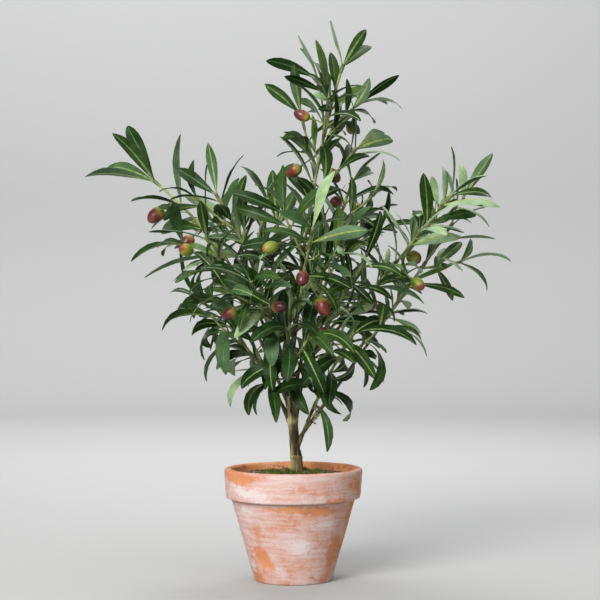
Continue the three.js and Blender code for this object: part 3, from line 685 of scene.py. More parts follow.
def leafPlaces(spray, path, isStem, draw):
    # opposite pairs up the twig, each pair square to the last, and a cluster at the tip
    tangents, lengths = tangentsOf(path), stepsOf(path)
    whole, passed = sum(lengths), 0.0
    spin = draw(0, fullTurn)
    wanted = leafShape["firstOnStem" if isStem else "firstOnTwig"]
    places = []
    for i, length in enumerate(lengths):
        while wanted <= passed + length:
            share = (wanted - passed) / length
            if wanted < whole - leafShape["lastGap"]:
                place = {"root": mix(path[i], path[i + 1], share),
                         "tangent": unit(mix(tangents[i], tangents[i + 1], share)),
                         "opening": spray["opening"] - leafShape["closing"] * wanted / whole,
                         "size": 1 if isStem else leafShape["onTwig"]}
                places += [dict(place, angle=spin), dict(place, angle=spin + math.pi)]
                spin += rad(90)
            wanted += spray["gap"]
        passed += length
    count = spray["tips"] if isStem else leafShape["twigTips"]
    for j in range(count):
        places.append({"root": path[-1], "tangent": tangents[-1],
                       "angle": spin + rad(360 / count) * j,
                       "opening": leafShape["tipOpening"], "size": leafShape["atTip"]})
    return places


def surroundings(spray, tree):
    # all that a spray's leaves must keep clear of
    stalks = np.concatenate([olive["line"] for olive in tree["olives"]])
    others = segmentsOf([path for other in sprays if other is not spray for path in other["paths"]])
    return dict(tree, stalks=stalks, others=others, own=segmentsOf(spray["paths"]),
                lines=np.concatenate([others, tree["boughs"], tree["trunk"], stalks]))


def leafFits(leaf, ribbon, near, gaps):
    outer = np.array(leaf["spine"][1:])
    own = gapsTo(outer, near["own"]).min(1)
    others = gapsTo(outer, near["others"]).min(1)
    if (own > others + gaps["mingle"]).any() or own.min() < gaps["ownGap"]:
        return False
    points = np.concatenate([ribbon["points"], ribbon["faces"].mean(1)])
    for what, other, gap in ((points, "others", "twigGap"), (points, "boughs", "limbGap"),
                             (points, "trunk", "trunkGap"), (outer, "stalks", "stalkGap")):
        if gapsTo(what, near[other]).min() < gaps[gap]:
            return False
    x, y, z = ribbon["points"].T
    if z.min() < rimGuard["z"] and np.hypot(x, y).min() < rimGuard["r"]:
        return False
    for olive in near["olives"]:
        room = oliveShape["guardR"] * olive["size"] + gaps["oliveGap"]
        if (np.linalg.norm(points - olive["centre"], axis=1) < room).any():
            return False
    if crossing(near["lines"], ribbon["faces"]):
        return False
    centre, radius = ribbon["centre"], ribbon["radius"]
    close = [other for other in near["crowd"]
             if np.linalg.norm(other["centre"] - centre) < other["radius"] + radius]
    if not close:
        return True
    faces, edges, corners = (np.concatenate([other[name] for other in close])
                             for name in ("faces", "edges", "points"))
    return not (crossing(ribbon["edges"], faces) or crossing(edges, ribbon["faces"])
                or hovering(ribbon["points"], faces, gaps["hover"])
                or hovering(corners, ribbon["faces"], gaps["hover"]))


def placeLeaf(place, shape, near, gaps):
    # tries a leaf in its place and beside it, and returns it, or None where there is no room
    for turn, wider, rollMore in leafTries:
        radial = across(place["tangent"], place["angle"] + rad(turn))
        opening = rad(min(leafShape["widest"], shape["opening"] + wider))
        rise = float(place["tangent"][2] * math.cos(opening) + radial[2] * math.sin(opening))
        lean = math.sqrt(max(leafShape["upright"], 1 - rise ** 2)) if rise > 0 else 1
        leaf = makeLeaf(place, shape, radial, opening, rad(shape["roll"] + rollMore),
                        shape["droop"] * lean)
        ribbon = ribbonOf(leaf, gaps["guard"])
        if leafFits(leaf, ribbon, near, gaps):
            near["crowd"].append(ribbon)
            return leaf
    return None


def growLeaves(tree):
    # a leaf that would leave its mass's space, or touch a limb, an olive or a leaf, is left out
    for spray in sprays:
        draw = makeRandom(spray["seeds"][2] + leafShape["seeds"])
        near = surroundings(spray, tree)
        spray["leaves"], spray["sleeves"] = [], []
        for path in spray["paths"]:
            isStem = path is spray["stem"]
            for place in leafPlaces(spray, path, isStem, draw):
                spray["sleeves"].append(dict(place, isStem=isStem))
                place["angle"] += rad(draw(*leafShape["turn"]))
                shape = {"opening": place["opening"] + draw(*leafShape["open"])}
                shape["length"] = spray["leaf"] * place["size"] * draw(*leafShape["length"])
                shape["width"] = shape["length"] * draw(*leafShape["width"])
                shape["roll"] = draw(*leafShape["roll"])
                shape["droop"] = rad(spray["droop"] * draw(*leafShape["droop"]))
                if draw() < leafShape["lost"]:
                    continue
                leaf = placeLeaf(place, shape, near, leafShape)
                if leaf:
                    spray["leaves"].append(leaf)


def growShoots(tree):
    # the same rule carried on: short shoots between the leaf pairs, with small leaves
    for number, spray in enumerate(sprays):
        draw = makeRandom(shootShape["seeds"] + number)
        near = surroundings(spray, tree)
        spray["shoots"], spray["smallLeaves"] = [], []
        for path in spray["paths"]:
            tangents, lengths = tangentsOf(path), stepsOf(path)
            spin = draw(0, fullTurn)
            wanted = shootShape["first"]
            while wanted < sum(lengths) - shootShape["first"]:
                i = int(np.searchsorted(np.cumsum(lengths), wanted))
                root = mix(path[i], path[i + 1], 1 - (sum(lengths[:i + 1]) - wanted) / lengths[i])
                growShoot(spray, root, tangents[i], spin, near, draw)
                wanted += draw(*shootShape["gap"])
                spin += rad(twigShape["golden"])


def growShoot(spray, root, tangent, spin, near, draw):
    opening, length, lift = (draw(*shootShape[name]) for name in ("opening", "length", "lift"))
    path = twigPath(root, tangent, spin, rad(opening), length, lift)
    outer = segmentsOf([path[1:]])
    centres = [olive["centre"] for olive in near["olives"]]
    limbs = np.concatenate([near["others"], near["boughs"]])
    blocked = (between(outer, limbs) < shootShape["fromPath"]
               or gapsTo(centres, outer).min() < shootShape["fromOlive"]
               or crossing(outer, np.concatenate([other["faces"] for other in near["crowd"]])))
    near["own"] = np.concatenate([near["own"], outer])
    tips, middle = shootShape["tips"], len(path) // 2
    places = [(-1, rad(360 / tips) * j) for j in range(tips)]
    places += [(middle, math.pi * j) for j in (0.5, 1.5)]
    leaves = []
    for i, turn in places:
        place = {"root": path[i], "tangent": tangentsOf(path)[i], "angle": spin + turn}
        size = draw(*shootShape["leaf"])
        wide = size * draw(*leafShape["width"]) * shootShape["wide"]
        shape = {"length": size, "width": wide, "roll": draw(*leafShape["roll"]),
                 "opening": draw(*shootShape["leafOpening"]),
                 "droop": rad(draw(*shootShape["droop"]))}
        leaf = None if blocked else placeLeaf(place, shape, near, smallGaps)
        if leaf:
            leaves.append(leaf)
    if leaves:
        spray["shoots"].append(path)
        spray["smallLeaves"] += leaves


# Leaves: printed cloth blades with a moulded midrib

leafLook = {
    "narrow": (0.79, 1.03), "fullWidth": 16.0, "beyondFull": 0.4,   # of the rule's width
    "bulge": (1.22, 1.72), "fullness": 0.72, "leastHalf": 0.45,
    "stations": (0, 0.08, 0.19, 0.32, 0.46, 0.6, 0.74, 0.87, 0.96),
    "inner": 0.56,                # where the blade's middle column stands, as a share of its half
    "thickness": 0.42,
    "rib": (1.1, 0.34), "underRib": (1.65, 0.4),   # half widths of the midrib at base and tip
    "ribMost": 0.45, "underRibMost": 0.5,          # over the half width of the blade
    "ribRise": (0.85, 0.15), "groove": 0.16, "fullRib": 14,   # a narrower leaf has a finer rib
    "fold": (5, 25), "arch": (-0.04, 0.2), "sway": 0.055, "twist": 22,
    "wave": (0.0, 0.12), "waves": 9, "offBeat": 1.4,
    "tipCurl": (-4, 30), "curlFrom": 0.45, "curlGrowth": 1.5,
    "petiole": (1.05, 0.945, 0.62, 0.31), "petioleShares": (0.04, 0.1, 0.17), "petioleSides": 5,
    "seeds": 4000,
}

# by spray: the share of leaves that show their underside, the share of pale undersides, and how
# far the dealing starts up the greens
leafDealing = {
    "right_arm": (0.58, 0.84, 0.5), "right_arm_low": (0.42, 0.6, 0.3),
    "top": (0.16, 0.2, 0), "back_right": (0.2, 0.2, 0),
}
usualDealing = (0.08, 0.2, 0)
dealing = {
    "paleOver": 0.8, "grey": 0.3,     # shares of pale undersides on turned leaves, of grey ones
    "brightRib": 0.36, "greens": (0.46, 0.81, 0.965),   # shares up to which each green is dealt
}

leafGreens = {
    "deepLeaf": ((0.005, 0.018, 0.002), (0.013, 0.043, 0.006)),
    "midLeaf": ((0.012, 0.035, 0.004), (0.03, 0.073, 0.011)),
    "softLeaf": ((0.032, 0.078, 0.026), (0.066, 0.135, 0.05)),
    "freshLeaf": ((0.07, 0.14, 0.022), (0.13, 0.225, 0.045)),
}
# the undersides: pale, grey, and a dark copy that is painted shade, dealt only to leaves not turned
# over, whose undersides face down
underGreens = {
    "paleUnder": ((0.2, 0.32, 0.17), (0.33, 0.46, 0.28)),
    "greyUnder": ((0.075, 0.15, 0.07), (0.135, 0.225, 0.12)),
    "paintedShadeUnder": ((0.022, 0.056, 0.012), (0.048, 0.1, 0.026)),
}
ribGreens = {
    "ribQuiet": ((0.03, 0.075, 0.02), (0.06, 0.125, 0.035)),
    "ribBright": ((0.125, 0.21, 0.05), (0.225, 0.33, 0.1)),
    "ribYellow": ((0.25, 0.33, 0.06), (0.38, 0.47, 0.14)),
}

# a noise has its scale and detail, and a bump its strength and depth in metres
clothLook = {
    "specular": 0.13, "roughness": 0.4, "underRoughness": 0.55, "rougher": (-0.06, 0.08),
    "mottle": (95.0, 4.0), "weave": (2600.0, 2.0), "weaveBump": (0.25, 0.00012),
    "veins": 56.0, "veinSlant": 46.0, "veinSpan": (0.6, 1.0), "veinWeight": 0.34,
    "veinTint": (1.5, 0.012), "veinBump": (0.4, 0.00018),
    "bloomNoise": (170.0, 6.0, (1, 1, 1), 0.65), "bloomSpan": (0.55, 0.72), "bloom": 0.27,
    "bloomTint": (1.9, 0.03),
}
ribLook = {
    "roughness": 0.5, "specular": 0.4, "scale": 260.0, "detail": 3.0, "low": 0.35,
    "grain": (1800.0, 2.0), "bump": (0.2, 0.00012),
}


def tinted(colour, times, more):
    return tuple(min(1, channel * times + more) for channel in colour)


def leafFinish(name, dark, light, roughness):
    # printed cloth: mottled colour, side veins that follow the blade, and a fine weave
    look, cloth = clothLook, Finish(name, roughness, clothLook["specular"])
    mottle = cloth.remap(cloth.noise(*look["mottle"]), *noiseSpan)
    along, out = cloth.along()[:2]
    out = cloth.calculate("ABSOLUTE", cloth.calculate("SUBTRACT", out, 0.5))
    along = cloth.calculate("MULTIPLY", along, look["veins"])
    slant = cloth.calculate("MULTIPLY_ADD", out, -look["veinSlant"], along)
    veins = cloth.remap(cloth.calculate("SINE", slant), *look["veinSpan"])
    veined = cloth.blend(cloth.calculate("MULTIPLY", veins, look["veinWeight"]),
                         cloth.blend(mottle, dark, light), tinted(light, *look["veinTint"]))
    bloom = cloth.remap(cloth.noise(*look["bloomNoise"]), *look["bloomSpan"], 0.0, look["bloom"])
    cloth.set("Base Color", cloth.blend(bloom, veined, tinted(light, *look["bloomTint"])))
    smooth, rough = (roughness + more for more in look["rougher"])
    cloth.set("Roughness", cloth.remap(mottle, 0.0, 1.0, smooth, rough))
    cloth.bump(cloth.noise(*look["weave"]), *look["weaveBump"])
    cloth.bump(veins, *look["veinBump"])
    return cloth.material


def ribFinish(name, dark, light):
    names = ("roughness", "specular", "scale", "detail", "low")
    rib = mottled(name, dark, light, *(ribLook[name] for name in names))
    rib.bump(rib.noise(*ribLook["grain"]), *ribLook["bump"])
    return rib.material


def bladeHalf(width, bulge, share):
    # half the cloth's width: narrow at its foot, widest past the middle
    half = math.sin(math.pi * share ** bulge) ** leafLook["fullness"]
    return max(width / 2 * half, leafLook["leastHalf"])


def leafBlade(leaf, over, draw):
    # rings of eight points: six over the blade and two under its midrib
    look = leafLook
    width, bulge = leaf["width"] * draw(*look["narrow"]), draw(*look["bulge"])
    width = min(width, look["fullWidth"] + (width - look["fullWidth"]) * look["beyondFull"])
    fold, arch = rad(draw(*look["fold"])), draw(*look["arch"])
    sway, twist = draw(-1, 1) * look["sway"], rad(draw(-1, 1) * look["twist"])
    wave, phase = draw(*look["wave"]), draw(0, fullTurn)
    curl = rad(draw(*look["tipCurl"]))
    small = min(1, leaf["width"] / look["fullRib"])
    flatSide = leaf["side"] * (-1 if over else 1)

    def curledWay(leaf, share):
        # the way of the growing rule, with the outer part bent down a little more
        beyond = max(0, share - look["curlFrom"]) / (1 - look["curlFrom"])
        return turned(leafWay(leaf, share), leaf["side"], -curl * beyond ** look["curlGrowth"])

    points, marks = [], []
    shares = (*look["stations"], 1.0)
    for share, centre in zip(shares, leafSpine(leaf, shares, curledWay)[1:]):
        way = curledWay(leaf, share)
        lean = twist * share
        side = flatSide * math.cos(lean) + np.cross(flatSide, way) * math.sin(lean)
        top = np.cross(side, way)
        middle = centre + side * (sway * leaf["length"] * share ** 2)
        if share == 1:
            points.append(middle)
            marks.append((1.0, 0.5))
            break
        half = bladeHalf(width, bulge, share)
        rib = min(look["ribMost"], mix(*look["rib"], share) * small / half)
        underRib = min(look["underRibMost"], mix(*look["underRib"], share) * small / half)
        depth = look["thickness"] + mix(*look["ribRise"], share) * small
        columns = [(t, math.cos(fold), 0) for t in (-1, -look["inner"])]
        columns += [(t, math.cos(fold), look["groove"] * small) for t in (-rib, rib)]
        columns += [(t, math.cos(fold), 0) for t in (look["inner"], 1)]
        columns += [(t, 1, depth) for t in (underRib, -underRib)]
        for t, narrowing, down in columns:
            beat = phase + look["waves"] * share + (look["offBeat"] if t > 0 else 0)
            lift = abs(t) * math.sin(fold) - arch * t * t + wave * math.sin(beat) * abs(t)
            points.append(middle + side * (half * t * narrowing) + top * (half * lift - down))
            marks.append((share, 0.5 + t / 2))
    return points, marks


def leafFaces():
    # a blade's faces, and the kind of each: blade (0), top rib (1), under (2) or under rib (3)
    kinds = [0, 0, 1, 0, 0, 2, 3, 2]
    ring, rows = len(kinds), len(leafLook["stations"])
    faces, slots = [tuple(reversed(range(ring)))], [3]
    for row in range(rows - 1):
        for k in range(ring):
            a, b = row * ring + k, row * ring + (k + 1) % ring
            faces.append((a, b, b + ring, a + ring))
            slots.append(kinds[k])
    for k in range(ring):
        faces.append(((rows - 1) * ring + k, (rows - 1) * ring + (k + 1) % ring, rows * ring))
        slots.append(0 if kinds[k] < 2 else 2)
    return faces, slots


def makeLeaves():
    smooth, rough = clothLook["roughness"], clothLook["underRoughness"]
    materials = [leafFinish(name, *tones, smooth) for name, tones in leafGreens.items()]
    materials += [leafFinish(name, *tones, rough) for name, tones in underGreens.items()]
    materials += [ribFinish(name, *tones) for name, tones in ribGreens.items()]
    firstUnder, firstRib = len(leafGreens), len(leafGreens) + len(underGreens)
    faces, kinds = leafFaces()
    total = 0
    for number, spray in enumerate(sprays):
        draw = makeRandom(leafLook["seeds"] + number)
        turnedOver, pale, faded = leafDealing.get(spray["name"], usualDealing)
        parts = newParts()
        for leaf in spray["leaves"] + spray["smallLeaves"]:
            over = draw() < turnedOver
            points, marks = leafBlade(leaf, over, draw)
            dealt = mix(faded, 1, draw())
            top = sum(dealt > share for share in dealing["greens"])
            limit, chance = dealing["paleOver"] if over else pale, draw()
            below = (chance > limit) + (chance > limit + dealing["grey"])
            rib = firstRib + (draw() < dealing["brightRib"])
            # an underside in painted shade gets the darker rib
            underRib = len(materials) - (2 if below == 2 else 1)
            slots = [(top, rib, firstUnder + below, underRib)[kind] for kind in kinds]
            addPart(parts, points, faces, slots, marks)
        total += len(spray["leaves"]) + len(spray["smallLeaves"])
        piece = joinParts("leaves_" + spray["name"], parts, materials)
        seat(piece, "foliage", "foliage_" + spray["name"])
    print("leaves:", total)


# Stems, twigs and shoots: wrapped wire with moulded sleeves where the leaves stand

stemLook = {
    "stemSides": 8, "twigSides": 7, "shootSides": 6,
    "stemSteps": 30, "twigSteps": 12, "shootSteps": 6,
    "overrun": 2.0, "stemThicker": 0.45, "twigThicker": 0.25,
    "wander": (0.35, 0.22),                # how uneven the wrapping is: scale and size
    "sleeve": [(-7.5, 0.112), (-5.5, 0.294), (-1.0, 0.504), (1.6, 0.665), (3.0, 0.35)],
    "sleeveSides": 8, "sleeveFit": 0.7, "sleeveShares": (0.8, 0.5),
    "specular": 0.35, "detail": 4.0, "low": 0.32, "turns": 200.0, "turnBump": (0.25, 0.00015),
    "grain": (900.0, 4.0), "grainBump": (0.4, 0.0003),
}
stemTones = {   # dark, light and roughness
    "wrappedStem": ((0.14, 0.17, 0.045), (0.38, 0.44, 0.165), 0.5),
    "sleeveGreen": ((0.19, 0.23, 0.065), (0.44, 0.5, 0.21), 0.45),
}
petioleTones = ((0.17, 0.24, 0.07), (0.32, 0.41, 0.16))


def tube(path, radii, sides):
    # a closed tube, its ring carried along the path so that its sides don't twist
    tangents, last = tangentsOf(path), len(path) - 1
    u = across(tangents[0], 0)
    points, marks = [], []
    for k, centre in enumerate(path):
        u = unit(u - tangents[k] * float(u @ tangents[k]))
        v = np.cross(tangents[k], u)
        for j in range(sides):
            angle = fullTurn * j / sides
            points.append(centre + (u * math.cos(angle) + v * math.sin(angle)) * radii[k])
            marks.append((k / last, j / sides))
    faces = [tuple(reversed(range(sides)))]
    for k in range(last):
        for j in range(sides):
            a, b = k * sides + j, k * sides + (j + 1) % sides
            faces.append((a, b, b + sides, a + sides))
    faces.append(tuple(range(last * sides, (last + 1) * sides)))
    return points, faces, marks


def addTube(parts, path, radii, sides, slot=0):
    points, faces, marks = tube(path, radii, sides)
    addPart(parts, points, faces, slot, marks)


def finePath(path, steps):
    # more points on the same smooth line
    points, last = np.array(path), len(path) - 1
    fine = []
    for share in np.linspace(0, last, steps + 1):
        i = min(int(share), last - 1)
        t = share - i
        p0, p1, p2, p3 = (points[min(last, max(0, i + k))] for k in (-1, 0, 1, 2))
        curve = 2 * p1 + (p2 - p0) * t + (2 * p0 - 5 * p1 + 4 * p2 - p3) * t * t
        fine.append((curve + (3 * p1 - p0 - 3 * p2 + p3) * t ** 3) / 2)
    return fine


def limbRadius(spray, share):
    foot = limbShape["sideRadius" if spray["start"] else "radius"]
    return foot * (1 - limbShape["thinning"] * share)


def unevenness(point, scale, size):
    return size * noise.noise(Vector(point) * scale)


def stemFinish(name, dark, light, roughness, scale=120.0, drawn=0.35):
    # paper tape wound round wire: fine slanting turns and brown blotches
    specular, detail, low = (stemLook[name] for name in ("specular", "detail", "low"))
    stem = mottled(name, dark, light, roughness, specular, scale, detail, low, (1, 1, drawn))
    along, around = stem.along()[:2]
    turns = stem.calculate("MULTIPLY", along, stemLook["turns"])
    slant = stem.calculate("MULTIPLY", around, fullTurn)
    wound = stem.calculate("SINE", stem.calculate("ADD", turns, slant))
    stem.bump(wound, *stemLook["turnBump"])
    stem.bump(stem.noise(*stemLook["grain"]), *stemLook["grainBump"])
    return stem.material


def masses(kind, chosen):
    return [kind + spray["name"] for spray in chosen]


def makeStems():
    # slot 0 is for stems and twigs, 1 for shoots and sleeves, 2 for the leaves' petioles
    materials = [stemFinish(name, *tones) for name, tones in stemTones.items()]
    materials.append(ribFinish("petioleGreen", *petioleTones))
    parts = newParts()
    for spray in sprays:
        for path in spray["paths"]:
            addStem(parts, spray, path)
        for path in spray["shoots"]:
            fine = finePath(path, stemLook["shootSteps"])
            radii = np.linspace(shootShape["footR"], shootShape["tipR"], len(fine))
            addTube(parts, fine, radii, stemLook["shootSides"], 1)
        for place in spray["sleeves"]:
            addSleeve(parts, spray, place)
        for leaf in spray["leaves"] + spray["smallLeaves"]:
            addPetiole(parts, leaf)
    piece = joinParts("stemsAndTwigs", parts, materials)
    seat(piece, "stems", *masses("foliage_", sprays))
    print("stems:", len(piece.data.polygons), "faces")


def addStem(parts, spray, path):
    kind = "stem" if path is spray["stem"] else "twig"
    ended = path[:-1] + [path[-1] + tangentsOf(path)[-1] * stemLook["overrun"]]
    fine = finePath(ended, stemLook[kind + "Steps"])
    radii = []
    for k, point in enumerate(fine):
        share = k / (len(fine) - 1)
        if kind == "stem":
            radius = limbRadius(spray, mix(spray["joint"], 1, share))
            radius += stemLook["stemThicker"] * share
        else:
            radius = mix(twigShape["footR"], twigShape["tipR"], share) + stemLook["twigThicker"]
        radii.append(radius * (1 + unevenness(point, *stemLook["wander"])))
    addTube(parts, fine, radii, stemLook[kind + "Sides"])


def addSleeve(parts, spray, place):
    stemShare, twigShare = stemLook["sleeveShares"]
    if place["isStem"]:
        radius = limbRadius(spray, stemShare) + stemLook["stemThicker"] * stemLook["sleeveFit"]
    else:
        radius = mix(twigShape["footR"], twigShape["tipR"], twigShare)
        radius += stemLook["twigThicker"] * stemLook["sleeveFit"]
    path = [place["root"] + place["tangent"] * along for along, _ in stemLook["sleeve"]]
    radii = [radius + more for _, more in stemLook["sleeve"]]
    addTube(parts, path, radii, stemLook["sleeveSides"], 1)


def addPetiole(parts, leaf):
    small = min(1, leaf["width"] / leafLook["fullRib"])
    sunk = leaf["face"] * leafLook["thickness"] * small
    points = [point - sunk for point in leafSpine(leaf, leafLook["petioleShares"])]
    radii = [thick * small for thick in leafLook["petiole"]]
    addTube(parts, points, radii, leafLook["petioleSides"], 2)


# Olives

oliveLook = {
    "around": 22, "along": 14, "egg": 0.05, "dimple": 0.9, "dimpleReach": 0.36, "nipple": 0.5,
    "nippleReach": 0.22, "longer": 1.03, "slim": (0.87, 0.97), "seeds": 5000,
    "stalkR": 0.75, "stalkFoot": 1.5, "stalkEnd": (1.15, 1.52 / 0.75, 1.9 / 0.75),
    "stalkSides": 7, "stalkSteps": 9, "sunk": 1.2, "sag": 1.6, "sagUp": 0.6,
    "stalkTones": ((0.13, 0.16, 0.05), (0.25, 0.27, 0.1), 0.5),
    "start": (0.02, 0.34), "greenShare": 0.24, "greenStart": (0.55, 0.85), "blush": 0.22,
    "ripening": 1.9, "ripest": (0.68, 1.0),
    "skin": [(0.0, (0.2, 0.27, 0.025)), (0.2, (0.31, 0.28, 0.03)), (0.42, (0.3, 0.13, 0.03)),
             (0.6, (0.24, 0.052, 0.028)), (0.8, (0.14, 0.026, 0.019)),
             (1.0, (0.055, 0.012, 0.011))],
    "cloudNoise": (210.0, 5.0, (1, 1, 1), 0.6), "cloud": (0.25, 0.75, -0.16, 0.16),
    "speckNoise": (1500.0, 2.0), "speckWeight": (0.66, 0.8, 0.0, 0.35), "speck": (0.42, 0.3, 0.16),
    "roughness": (0.34, 0.5), "roughScale": 160.0, "coat": 0.15, "coatRoughness": 0.3,
    "bumpScale": 520.0, "bump": (0.12, 0.0003),
}


def oliveFinish():
    # ripeness runs from the stalk, yellow-green, to the tip, maroon
    look, skin = oliveLook, Finish("oliveSkin", oliveLook["roughness"][0])
    skin.set("Coat Weight", look["coat"])
    skin.set("Coat Roughness", look["coatRoughness"])
    ripe = skin.add("Attribute", attribute_name="ripe")["Fac"]
    cloud = skin.remap(skin.noise(*look["cloudNoise"]), *look["cloud"])
    colour = skin.ramp(skin.calculate("ADD", ripe, cloud, use_clamp=True), look["skin"])
    specks = skin.remap(skin.noise(*look["speckNoise"]), *look["speckWeight"])
    skin.set("Base Color", skin.blend(specks, colour, look["speck"]))
    uneven = skin.noise(look["roughScale"])
    skin.set("Roughness", skin.remap(uneven, *noiseSpan, *look["roughness"]))
    skin.bump(skin.noise(look["bumpScale"]), *look["bump"])
    return skin.material


def makeOlives():
    parts, ripeness, stalks = newParts(), [], newParts()
    fruiting = [spray for spray in sprays if spray["fruit"]]
    for number, spray in enumerate(sprays):
        draw = makeRandom(oliveLook["seeds"] + number)
        for olive in spray["fruit"]:
            addOlive(parts, ripeness, olive, draw)
            addStalk(stalks, olive)
    piece = joinParts("olives", parts, [oliveFinish()])
    layer = piece.data.attributes.new("ripe", "FLOAT", "POINT")
    layer.data.foreach_set("value", np.array(ripeness, np.float32))
    seat(piece, "foliage", *masses("foliage_", fruiting))
    green = stemFinish("stalkGreen", *oliveLook["stalkTones"])
    seat(joinParts("oliveStalks", stalks, [green]), "stems", *masses("foliage_", fruiting))
    print("olives:", sum(len(spray["fruit"]) for spray in sprays))


def addOlive(parts, ripeness, olive, draw):
    look = oliveLook
    around, along, axis = look["around"], look["along"], olive["axis"]
    slim = draw(*look["slim"])
    long = oliveShape["halfLength"] * olive["size"] * look["longer"]
    wide = oliveShape["halfWidth"] * olive["size"] * slim
    start, ripest = draw(*look["start"]), draw(*look["ripest"])
    if draw() < look["greenShare"]:
        start = draw(*look["greenStart"])
    u = across(axis, draw(0, fullTurn))
    v = np.cross(axis, u)
    sunny = unit(np.array([draw(-1, 0), draw(-1, 0), draw()]))
    points, marks = [], []
    for k in range(along + 1):
        theta = math.pi * k / along
        radius = wide * math.sin(theta) * (1 + look["egg"] * math.cos(theta))
        height = -long * math.cos(theta)
        height += look["dimple"] * math.exp(-(theta / look["dimpleReach"]) ** 2)
        height += look["nipple"] * math.exp(-((math.pi - theta) / look["nippleReach"]) ** 2)
        atPole = k in (0, along)
        for j in range(1 if atPole else around):
            angle = fullTurn * j / around
            outward = u * math.cos(angle) + v * math.sin(angle)
            points.append(olive["centre"] + axis * height + outward * (0 if atPole else radius))
            marks.append((k / along, j / around))
            normal = unit(outward * math.sin(theta) - axis * math.cos(theta))
            share = (1 - math.cos(theta)) / 2
            ripe = (share - start) * look["ripening"] + look["blush"] * float(normal @ sunny)
            ripeness.append(min(ripest, max(0, ripe)))
    faces, foot = [], 1 + (along - 2) * around
    for j in range(around):
        after = (j + 1) % around
        faces.append((0, 1 + after, 1 + j))
        for k in range(along - 2):
            a, b = 1 + k * around + j, 1 + k * around + after
            faces.append((a, b, b + around, a + around))
        faces.append((foot + j, foot + after, len(points) - 1))
    addPart(parts, points, faces, 0, marks)


def addStalk(parts, olive):
    root, axis = olive["root"], olive["axis"]
    end = olive["centre"] - axis * (oliveShape["halfLength"] * olive["size"] - oliveLook["sunk"])
    side = unit(np.cross(axis, up) + 1e-6)
    middle = mix(root, end, 0.5) + (up * oliveLook["sagUp"] + side) * oliveLook["sag"]
    path = pathOf((root, middle, end), 0, 1, oliveLook["stalkSteps"])
    ends = oliveLook["stalkEnd"]
    swells = [oliveLook["stalkFoot"]] + [1] * (len(path) - 1 - len(ends)) + list(ends)
    addTube(parts, path, [oliveLook["stalkR"] * swell for swell in swells], oliveLook["stalkSides"])


# Trunk: moulded stem in three lengths, with a swollen joint and a sheath at its top

trunkLook = {
    "sides": 56, "rings": 66, "lip": 1.5, "sink": 1.4, "crease": 55,
    # the count, depth and turn of the lower length's flutes and of the sheath's ribs
    "flutes": [(9, 0.34, 0.3), (5, 0.2, 1.7)], "fluteTop": 131, "fluteFade": 1.2,
    "ribs": [(3, 0.5, 2.1), (7, 0.16, 0.4)], "ribTwist": 0.012, "sheathFrom": 184, "sheathFade": 3,
    # the height, depth and spread of each groove, and the depth and scales of the fibre and dents
    "grooves": [(133.4, 0.55, 0.8), (174.6, 0.5, 0.9), (129.6, 0.25, 0.7)],
    "fibre": (0.16, 5.12, 0.072), "dents": (0.22, 0.16),
    # the lowest side stem's foot, as a swelling
    "bundle": {"angle": -0.3, "spread": 0.34, "height": 1.7, "top": 138, "fade": 1.5},
}

trunkTones = [
    # height in mm, the light streaks' colour and the dark ones'
    (112, (0.34, 0.3, 0.15), (0.13, 0.085, 0.038)),
    (131.5, (0.36, 0.31, 0.15), (0.14, 0.09, 0.04)),
    (133.5, (0.5, 0.42, 0.2), (0.2, 0.12, 0.05)),
    (135, (0.31, 0.235, 0.095), (0.032, 0.019, 0.006)),
    (160, (0.34, 0.265, 0.11), (0.044, 0.028, 0.009)),
    (166, (0.46, 0.38, 0.165), (0.14, 0.1, 0.038)),
    # the joint: yellow moulding, painted lighter still as a highlight
    (171.5, (0.8, 0.7, 0.37), (0.45, 0.36, 0.16)),
    (177, (0.4, 0.34, 0.145), (0.1, 0.075, 0.028)),
    (188, (0.58, 0.5, 0.225), (0.22, 0.175, 0.07)),
    (218.5, (0.66, 0.58, 0.3), (0.36, 0.31, 0.14)),
]

plasticLook = {
    "specular": 0.3, "roughness": (0.46, 0.3), "wobbleScale": 160.0, "wobble": (-0.0015, 0.0015),
    "streaks": (330.0, 4.0, (1, 1, 0.045), 0.6), "streakSpan": (0.29, 0.53),
    # painted shade: the streaks grow darker towards the right, the side turned away from the light
    "paintedShadeFrom": (-0.007, 0.009), "paintedShade": 0.3,   # the streaks are darker towards the right
    "fibre": (1100.0, 4.0, (1, 1, 0.07)), "fibreBump": (0.5, 0.0004),
    "grain": 700.0, "grainBump": (0.2, 0.0002),
}


def fading(distance, spread):
    # 1 far below nothing, 0 far above it
    return 1 / (1 + math.exp(distance / spread))


def bell(distance, spread):
    return math.exp(-(distance / spread) ** 2)


def trunkRelief(place, normal):
    look, z = trunkLook, place.z
    centre = trunkPoint(z)
    angle = math.atan2(place.y - centre[1], place.x - centre[0])
    low = fading(z - look["fluteTop"], look["fluteFade"])
    high = fading(look["sheathFrom"] - z, look["sheathFade"])
    height = 0
    for count, depth, turn in look["flutes"]:
        height += low * depth * math.cos(count * angle + turn)
    for count, depth, turn in look["ribs"]:
        height += high * depth * math.cos(count * angle + turn + z * look["ribTwist"])
    for middle, depth, spread in look["grooves"]:
        height -= depth * bell(z - middle, spread)
    bundle = look["bundle"]
    beside = bell(angle - bundle["angle"], bundle["spread"])
    height += bundle["height"] * beside * fading(z - bundle["top"], bundle["fade"])
    depth, scale, drawn = look["fibre"]
    around = Vector((math.cos(angle) * scale, math.sin(angle) * scale, z * drawn))
    height += depth * noise.noise(around)
    depth, scale = look["dents"]
    height += depth * noise.noise(Vector(place) * scale)
    return height * (1 - abs(normal.z))


